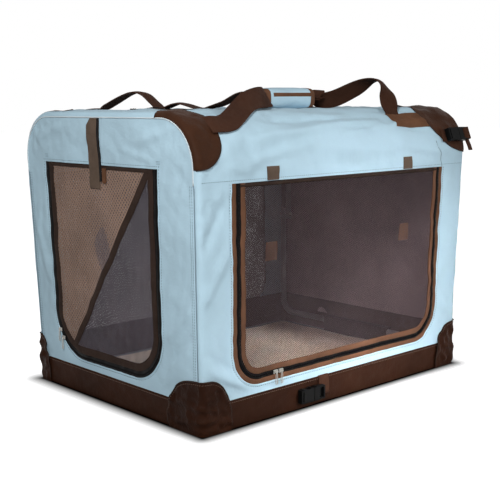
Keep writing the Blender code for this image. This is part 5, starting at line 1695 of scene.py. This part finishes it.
def slider_and_pull(door, word, face, place):
    matrix = Matrix.Translation(place) @ face.to_4x4()
    base = door + "_" + word
    metal_piece(base + "_slider_body", slider_mesh(base, matrix), base + "_slider", door + "_slider_" + word)
    metal_piece(base + "_pull_loop", loop_mesh(base, matrix), base + "_pull", door + "_pull_" + word)


for word, x in (("left", -0.180), ("right", -0.167)):
    slider_and_pull("front", word, FACE_FRONT, lean_place(x, -WIDTH / 2 - PROUD, DOOR_LOW + 0.0141))
for word, degrees in (("upper", -28.0), ("lower", -40.0)):
    angle = math.radians(degrees)
    y, z = 0.101 + 0.0822 * math.cos(angle), 0.151 + 0.0822 * math.sin(angle)
    slider_and_pull("left", word, FACE_LEFT, lean_place(-LENGTH / 2 - PROUD, y, z))


# %% [markdown]
# The roof has its own long zip, on a narrow dark tape. Its slider lies flat.

# %% Roof zip
ROOF_ZIP_S = SIDE_RISE + ROOF_ARC + 0.060 + FLAT_HALF


def roof_strip(half_x, half_s, rows, base, rise, power):
    x, s = flat_grid((-half_x, half_x), (ROOF_ZIP_S - half_s, ROOF_ZIP_S + half_s), 150, rows)
    return laid(on_roof, x, s, base + rise * crown((s - ROOF_ZIP_S) / half_s, power))


tape, coil = roof_strip(0.262, 0.011, 7, 0.0, 0.0008, 4), roof_strip(0.255, 0.0026, 5, 0.0006, 0.0009, 2)
sewn("roof_zip_tape", [tape], FINE_TAPE, binding_brown, "roof", slot="webbing")
sewn("roof_zip_coil_ridge", [coil], 0.0009, black_nylon, "roof", ["roof_zip_coil"], "coil", held=None)
teeth = [seam_on(on_roof, np.linspace(-0.253, 0.253, 240), ROOF_ZIP_S, 0.0014)]
along_paths("roof_zip_coil_teeth", teeth, tooth_item, 0.0016, black_nylon, "roof")
matrix = Matrix.Translation((-0.235, 0.060, HEIGHT + 0.0018)) @ FACE_ROOF.to_4x4()
slider = slider_mesh("roof_slider", matrix, False)
metal_piece("roof_zip_slider_body", slider, "roof_zip_slider", "roof_slider")


# %% [markdown]
# ## Side-release buckles
# A buckle has a hollow socket with a window on each side, and a plug whose two prongs snap into
# those windows. Both halves are cut and rounded in mesh code in the CAD's local axes.


# %% Buckle helpers
BUCKLE_NEAR, BUCKLE_THICK, SOFT_EDGE, CORNER = -0.0021, 0.010, 0.0008, 0.0006
BUCKLE_TOP, BUCKLE_MIDDLE = BUCKLE_NEAR - BUCKLE_THICK, BUCKLE_NEAR - BUCKLE_THICK / 2
SOCKET_SHAPE = ((-0.0005, 0.0125), (-0.0050, 0.0130), (-0.0120, 0.0122), (-0.0190, 0.0122),
                (-0.0250, 0.0130), (-0.0315, 0.0118))
PLUG_SHAPE = ((0.0280, 0.0105), (0.0270, 0.0125), (0.0060, 0.0130), (0.0005, 0.0125))
PRONG_SHAPE = ((0.0010, 0.0060), (-0.0080, 0.0072), (-0.0150, 0.0078), (-0.0158, 0.0096),
               (-0.0125, 0.0106), (-0.0090, 0.0100), (0.0010, 0.0092))


def outline_plate(name, outline, low_y, high_y):
    # A plate from an outline of x and z.
    work = bmesh.new()
    face = work.faces.new([work.verts.new((x, low_y, z)) for x, z in outline])
    grown = bmesh.ops.extrude_face_region(work, geom=[face])["geom"]
    moved = [v for v in grown if isinstance(v, bmesh.types.BMVert)]
    bmesh.ops.translate(work, vec=(0, high_y - low_y, 0), verts=moved)
    bmesh.ops.recalc_face_normals(work, faces=work.faces)
    return mesh_from(name, work)


def shell(name, shape, cuts):
    # Both sides of a half outline as one plate, with blocks cut out of it and its edges rounded.
    outline = [*shape, *[(x, -z) for x, z in reversed(shape)]]
    obj = new_object(name, outline_plate(name, outline, BUCKLE_TOP, BUCKLE_NEAR))
    for x, size in cuts:
        block = rounded_block("cut", (x, BUCKLE_MIDDLE, 0), size, CORNER, 1)
        tool = new_object("cutter", block)
        boolean = obj.modifiers.new("Cut", "BOOLEAN")
        boolean.operation, boolean.solver, boolean.object = "DIFFERENCE", "EXACT", tool
        applied(obj)
        bpy.data.objects.remove(tool)
    bevel = obj.modifiers.new("Edges", "BEVEL")
    bevel.width, bevel.segments, bevel.limit_method = SOFT_EDGE, 2, "ANGLE"
    bevel.angle_limit = math.radians(35)
    return applied(obj)


def buckle(prefix, matrix, socket_body, plug_body):
    socket = shell(prefix + "_socket_shell", SOCKET_SHAPE, (
        (-0.0080, (0.0190, 0.0052, 0.0222)), (-0.0125, (0.0095, 0.0052, 0.0400)),
        (-0.0270, (0.0030, 0.0200, 0.0200))))
    socket.data.transform(matrix)
    dress(socket, socket_body, black_plastic, [prefix + "_socket"])
    plug = shell(prefix + "_plug_frame", PLUG_SHAPE, ((0.0190, (0.0105, 0.0200, 0.0195)),))
    bar = rounded_block("bar", (0.0190, BUCKLE_MIDDLE, 0), (0.0030, 0.0040, 0.0215), 0.0008, 2)
    guide = rounded_block("guide", (-0.0070, BUCKLE_MIDDLE, 0), (0.0160, 0.0036, 0.0040), 0.0010, 2)
    prongs = [outline_plate("prong", [(x, side * z) for x, z in PRONG_SHAPE],
                            BUCKLE_MIDDLE - 0.0019, BUCKLE_MIDDLE + 0.0019) for side in (-1, 1)]
    plug.data = join_meshes(prefix + "_plug_frame", [plug.data, bar, guide, *prongs], matrix)
    plug.data.materials.clear()
    dress(plug, plug_body, black_plastic, [prefix + "_plug"])


# %% [markdown]
# Each buckle hangs on short strips of webbing, drawn along a path in the buckle's local axes.

# %% Buckles and their webbing
TAB_ROWS = ((0.0325, 0.0012, 0.0280), (0.0325, -0.0020, 0.0262), (0.0325, -0.0042, 0.0170),
            (0.0325, -0.0050, 0.0050), (0.0325, -0.0046, -0.0040), (0.0325, -0.0024, -0.0080))
STRIP_ROWS = ((-0.0420, -0.0006, 0), (-0.0330, -0.0012, 0), (-0.0200, -0.0014, 0), (0.0, -0.0014, 0),
              (0.0200, -0.0014, 0), (0.0300, -0.0012, 0))
LOOP_ROWS = ((0.0170, -0.0040, 0), (0.0200, -0.0125, 0), (0.0270, -0.0146, 0), (0.0330, -0.0128, 0),
             (0.0352, -0.0085, 0), (0.0340, -0.0038, 0), (0.0290, -0.0012, 0), (0.0180, -0.0012, 0))
TAIL_ROWS = ((0.0300, -0.0050, 0.0040), (0.0305, -0.0046, -0.0120), (0.0315, -0.0052, -0.0240),
             (0.0300, -0.0064, -0.0340))


def webbing_strip(name, rows, width, axis, body, nodes, matrix):
    # The strip's width runs along one local axis.
    path = smooth_rows(rows, 8)
    across = np.linspace(-width / 2, width / 2, 6)
    grid = path[:, None] + np.eye(3)[axis] * across[None, :, None]
    placed = np.array([[matrix @ Vector(p) for p in row] for row in grid])
    uv = uv_grid(path_length(path)[:, None], across[None, :])
    sewn(name, [(placed, uv)], WEBBING, brown_webbing, body, nodes, "webbing", held="hung", outward=False)


tilt = Matrix.Rotation(math.atan(SIDE_LEAN / HEIGHT), 4, "X")
matrix = Matrix.Translation(lean_place(-0.0905, -WIDTH / 2 - PROUD, 0.024)) @ tilt
buckle("base_buckle", matrix, "base", "base_plug")
webbing_strip("base_buckle_tab", TAB_ROWS, 0.0250, 0, "base", ["base_buckle_webbing"], matrix)
edge, angle = ROOF_ROUND + 0.0036, math.radians(22.5)
place = lean_place(0.318, -(FLAT_HALF + edge * math.cos(angle)), SPRING + edge * math.sin(angle))
matrix = Matrix.Translation(place) @ tilt @ Matrix.Rotation(-angle, 4, "X")
buckle("top_buckle", matrix, "roof", "top_plug")
webbing_strip("top_buckle_strip", STRIP_ROWS, 0.0250, 2, "roof", ["top_buckle_webbing"], matrix)
webbing_strip("top_buckle_loop", LOOP_ROWS, 0.0235, 2, "top_plug", (), matrix)
webbing_strip("top_buckle_tail", TAIL_ROWS, 0.0120, 0, "top_plug", (), matrix)
print(len(finished), "pieces dressed,", sum(finished.values()), "faces")


# %% [markdown]
# ## Stitches
# Each seam has its row of thread: blue on the blue cloth, brown on the brown. Two rows stand
# beside each upright corner seam, and short dense rows lock the corners of the end door.


# %% Rows of thread
HEM_ROW = 0.0042


def line_on(place, first, last, out, count=60):
    t = np.linspace(0, 1, count)
    return seam_on(place, first[0] + (last[0] - first[0]) * t, first[1] + (last[1] - first[1]) * t, out)


def opening_row(place, door, top):
    path = u_path(door, -HEM_ROW, top)
    return seam_on(place, path[:, 0], path[:, 1], -0.0002)


wall_rows = [opening_row(place, FRONT_DOOR, CAP_LOW - 0.002) for place in (front_place, back_place)]
wall_rows += [opening_row(place, LEFT_DOOR, CAP_LOW) for place in (left_place, right_place)]
for place in (left_place, right_place):
    for inset in (0.0045, 0.0095):
        for side in (-1, 1):
            y = side * (END_HALF - inset)
            wall_rows.append(line_on(place, (y, BAND_TOP + 0.002), (y, CAP_LOW - 0.002), 0.0001, 90))
stitches("wall_stitches", wall_rows, "base")

door_left, door_right = (LEFT_DOOR["middle"] + side * (LEFT_DOOR["half"] + HEM_ROW) for side in (-1, 1))
high = LEFT_TOP + HEM_ROW
roof_rows = [line_on(on_roof, (-WALL_HALF, s), (WALL_HALF, s), 0.0002, 180)
             for s in (SEAM_INSET, ROOF_SPAN - SEAM_INSET)]
roof_rows += [
    line_on(left_place, (door_left, CAP_LOW), (door_left, high), 0.0002, 10),
    line_on(left_place, (door_left, high), (door_right, high), 0.0002, 80),
    line_on(left_place, (door_right, high), (door_right, CAP_LOW), 0.0002, 10),
]
stitches("roof_stitches", roof_rows, "roof")
tacks = [line_on(left_place, (y - 0.004, z + step), (y + 0.004, z + step), 0.0003, 6)
         for y, z in ((0.1795, 0.4425), (-0.1600, 0.4415)) for step in (-0.0024, 0, 0.0024)]
stitches("end_door_bar_tacks", tacks, "roof", spacing=0.0012, size=0.8)

sides = ((front_place, WALL_HALF), (back_place, WALL_HALF), (left_place, END_HALF), (right_place, END_HALF))
band_rows = [line_on(place, (-half, 0.0462), (half, 0.0462), 0.0013, 160) for place, half in sides]
stitches("band_stitches", band_rows + patch_seams, "base", brown_thread)
zip_rows = [line_on(on_roof, (-0.260, s), (0.260, s), 0.0010, 150)
            for s in (ROOF_ZIP_S - 0.0092, ROOF_ZIP_S + 0.0092)]
tab_rows = [line_on(roof_front, (x - 0.0105, z), (x + 0.0105, z), 0.0022, 8)
            for _, x in TAB_X for z in (CAP_LOW + 0.0035, 0.4300)]
stitches("tape_stitches", zip_rows + tab_rows, "roof", brown_thread)


# %% [markdown]
# A dart shapes the roof cloth beside each right corner patch. Along it, and along the seam at each
# upright corner, a thin dark cord is a painted shadow that stands for the shade in the seam.

# %% Darts and corner seams
t = np.linspace(0, 1, 24)
darts = [on_roof(0.258 + 0.019 * t, s, 0.0001) for s in (0.051 - 0.050 * t, ROOF_SPAN - 0.051 + 0.050 * t)]
cord_piece("roof_dart_seams", darts, 0.0005, seam_shadow_blue, "roof", sides=6)
seam_z = np.linspace(BAND_TOP + 0.001, CAP_LOW - 0.001, 90)
corner_seams = [place(side * END_HALF, seam_z, 0.0007)
                for place in (left_place, right_place) for side in (-1, 1)]
cord_piece("corner_seam_lines", corner_seams, 0.0008, seam_shadow_blue, "base", sides=6)


# %% [markdown]
# ## Soft pieces
# The walls and the doors can't follow the frame down when the crate folds. They are listed in three
# groups: the walls and what is sewn to them, by the base band, and each door, by the hem that it hangs from.
# Each piece gets its own copy of its mesh.

# %% Own meshes for the soft pieces
ON_BAND = """
    front_wall_cloth back_wall_cloth left_end_cloth right_end_cloth wall_stitches corner_seam_lines
    front_zip_tape_cloth front_zip_tape_ridge front_zip_coil_ridge front_zip_coil_ridge_teeth
    left_zip_coil_ridge left_zip_coil_ridge_teeth back_window_net right_window_net
    inside_corner_tape_front_left inside_corner_tape_front_right
    inside_corner_tape_back_left inside_corner_tape_back_right inside_band_back inside_band_right
""".split()
ON_FRONT_HEM = """
    front_door_binding_tape front_door_top_hem front_door_net front_door_tab_left_webbing
    front_door_tab_right_webbing
""".split()
ON_END_HEM = """
    left_door_binding_tape left_door_top_hem left_door_net left_door_lining_net
    left_door_lining_binding
""".split()
for anchor_z, names in ((BAND_TOP + 0.0003, ON_BAND), (FRONT_TOP, ON_FRONT_HEM), (END_TOP, ON_END_HEM)):
    for name in names:
        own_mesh(bpy.data.objects[name])


# %% [markdown]
# Each sheet's flat size and what it rests on were listed as it was made; here that list is only read.
# The small items that were set along the seams have done their work and are removed.

# %% Sheets
for item in (stitch_item, tooth_item):
    bpy.data.objects.remove(item)
for obj, flat, area, held, rests_on in sheets:
    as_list(rests_on)
print(len(finished), "pieces,", sum(finished.values()), "faces")


# %% [markdown]
# ## The studio
# A large pale floor runs on behind the crate. Camera rays see it and the world as plain white,
# and its soft contact shadow round the crate is painted as well as cast: the floor's colour goes
# to black at the crate's foot. One large lamp stands to the right of the camera, so that the long
# side is brighter than the strapped end. A small one lights the end, and a narrow one the mat.


# %% Floor and world
SHADOW_REACH, FLOOR_GLOW, FLOOR_HALF = 0.058, 0.95, 14.0
WORLD_LIGHT = (0.34, 0.10)
# The first colour is the painted shadow at the crate's foot; GREY is the floor that other rays see.
SHADOW_BLACK, GREY, WHITE = (0, 0, 0, 1), (0.28, 0.28, 0.28, 1), (0.95, 0.95, 0.95, 1)


def seen_ray(tree):
    # 1 for what the camera sees directly, in gloss or through glass.
    rays = tree.nodes.new("ShaderNodeLightPath")
    also = math_node(tree, "MAXIMUM", rays.outputs["Is Glossy Ray"], rays.outputs["Is Transmission Ray"])
    return math_node(tree, "MAXIMUM", rays.outputs["Is Camera Ray"], also)


def crate_gap(tree):
    # How far a point of the floor is from the crate's foot.
    split = node(tree, "SeparateXYZ", {0: node(tree, "TexCoord").outputs["Object"]})
    past = []
    for axis, half in ((0, LENGTH / 2 - END_LEAN), (1, WIDTH / 2 - SIDE_LEAN)):
        away = math_node(tree, "SUBTRACT", math_node(tree, "ABSOLUTE", split.outputs[axis]), half)
        past.append(math_node(tree, "POWER", math_node(tree, "MAXIMUM", away, 0.0), 2.0))
    return math_node(tree, "SQRT", math_node(tree, "ADD", *past))


def floor_finish():
    # Lit by the lamps near the crate, with a painted shadow in its colour that goes to black at the crate's
    # foot, and glowing white for the camera further out.
    made, tree, shader = new_finish("white studio floor", 0.95, gloss=0.0)
    seen, gap = seen_ray(tree), crate_gap(tree)
    # Painted shadow: the floor's colour goes from black at the crate's foot to plain further out.
    dark = spread(tree, gap, 0.003, SHADOW_REACH * 0.6)
    shade = mix_colour(tree, dark, SHADOW_BLACK, mix_colour(tree, seen, GREY, WHITE))
    tree.links.new(shade, shader.inputs["Base Color"])
    reach = math_node(tree, "POWER", spread(tree, gap, 0.002, SHADOW_REACH), 0.8)
    strength = math_node(tree, "MULTIPLY", math_node(tree, "MULTIPLY", reach, seen), FLOOR_GLOW)
    glow = node(tree, "Emission", {"Strength": strength})
    both = tree.nodes.new("ShaderNodeAddShader")
    for index, part in enumerate((shader, glow)):
        tree.links.new(part.outputs[0], both.inputs[index])
    tree.links.new(both.outputs[0], tree.nodes["Material Output"].inputs["Surface"])
    return made


def studio_floor():
    mesh = bpy.data.meshes.new("floor")
    corners = [(x * FLOOR_HALF, y * FLOOR_HALF, 0) for x, y in ((-1, -1), (1, -1), (1, 1), (-1, 1))]
    mesh.from_pydata(corners, [], [(0, 1, 2, 3)])
    mesh.materials.append(floor_finish())
    floor = new_object("studio_floor", mesh)
    floor.location.z = -0.0006


def studio_world():
    world = bpy.data.worlds.new("pale studio")
    world.use_nodes = True
    tree = world.node_tree
    back = tree.nodes["Background"]
    height = node(tree, "SeparateXYZ", {0: node(tree, "TexCoord").outputs["Generated"]}).outputs[2]
    light = spread(tree, height, 0.0, 0.8, *WORLD_LIGHT)
    tree.links.new(spread(tree, seen_ray(tree), 0.0, 1.0, light, 1.0), back.inputs["Strength"])
    back.inputs["Color"].default_value = (1, 1, 1, 1)
    bpy.context.scene.world = world


def lamp(name, place, aim, size, power, spread_degrees=180):
    data = bpy.data.lights.new(name, "AREA")
    data.shape, data.size, data.energy = "DISK", size, power
    data.spread = math.radians(spread_degrees)
    made = new_object(name, data)
    made.location = place
    made.rotation_euler = (Vector(aim) - Vector(place)).to_track_quat("-Z", "Y").to_euler()


studio_floor()
studio_world()
lamp("key lamp", (0.8, -2.4, 0.95), (0, 0, 0.35), 1.0, 18.5)
lamp("end lamp", (-1.35, -1.0, 1.15), (-0.35, -0.06, 0.42), 0.4, 23)
lamp("mat lamp", (0.35, -1.75, 0.80), (0.0, -0.02, 0.03), 0.25, 0.90, 24)


# %% [markdown]
# ## The camera
# The place, aim and lens were fitted to the photograph from the crate's own corners. The camera
# stands low, in front of the left corner, and is level but for a small roll.

# %% Camera
CAMERA_PLACE = Vector((-1.317, -1.433, 0.540))
HEADING, PITCH, ROLL = math.radians(47.46), math.radians(8.6), math.radians(-0.43)
LENS, SENSOR = 71.26, 36.0
right = Vector((math.sin(HEADING), -math.cos(HEADING), 0))
forward = Vector((math.cos(PITCH) * math.cos(HEADING), math.cos(PITCH) * math.sin(HEADING), -math.sin(PITCH)))
up = right.cross(forward)
camera_right = right * math.cos(ROLL) + up * math.sin(ROLL)
camera_up = up * math.cos(ROLL) - right * math.sin(ROLL)
camera_data = bpy.data.cameras.new("camera")
camera_data.lens, camera_data.sensor_width = LENS, SENSOR
camera = new_object("camera", camera_data)
axes = Matrix((camera_right, camera_up, -forward)).transposed()
camera.matrix_world = Matrix.Translation(CAMERA_PLACE) @ axes.to_4x4()
bpy.context.scene.camera = camera
bpy.context.scene.view_settings.view_transform = "Standard"
print("camera at", tuple(round(n, 3) for n in CAMERA_PLACE))
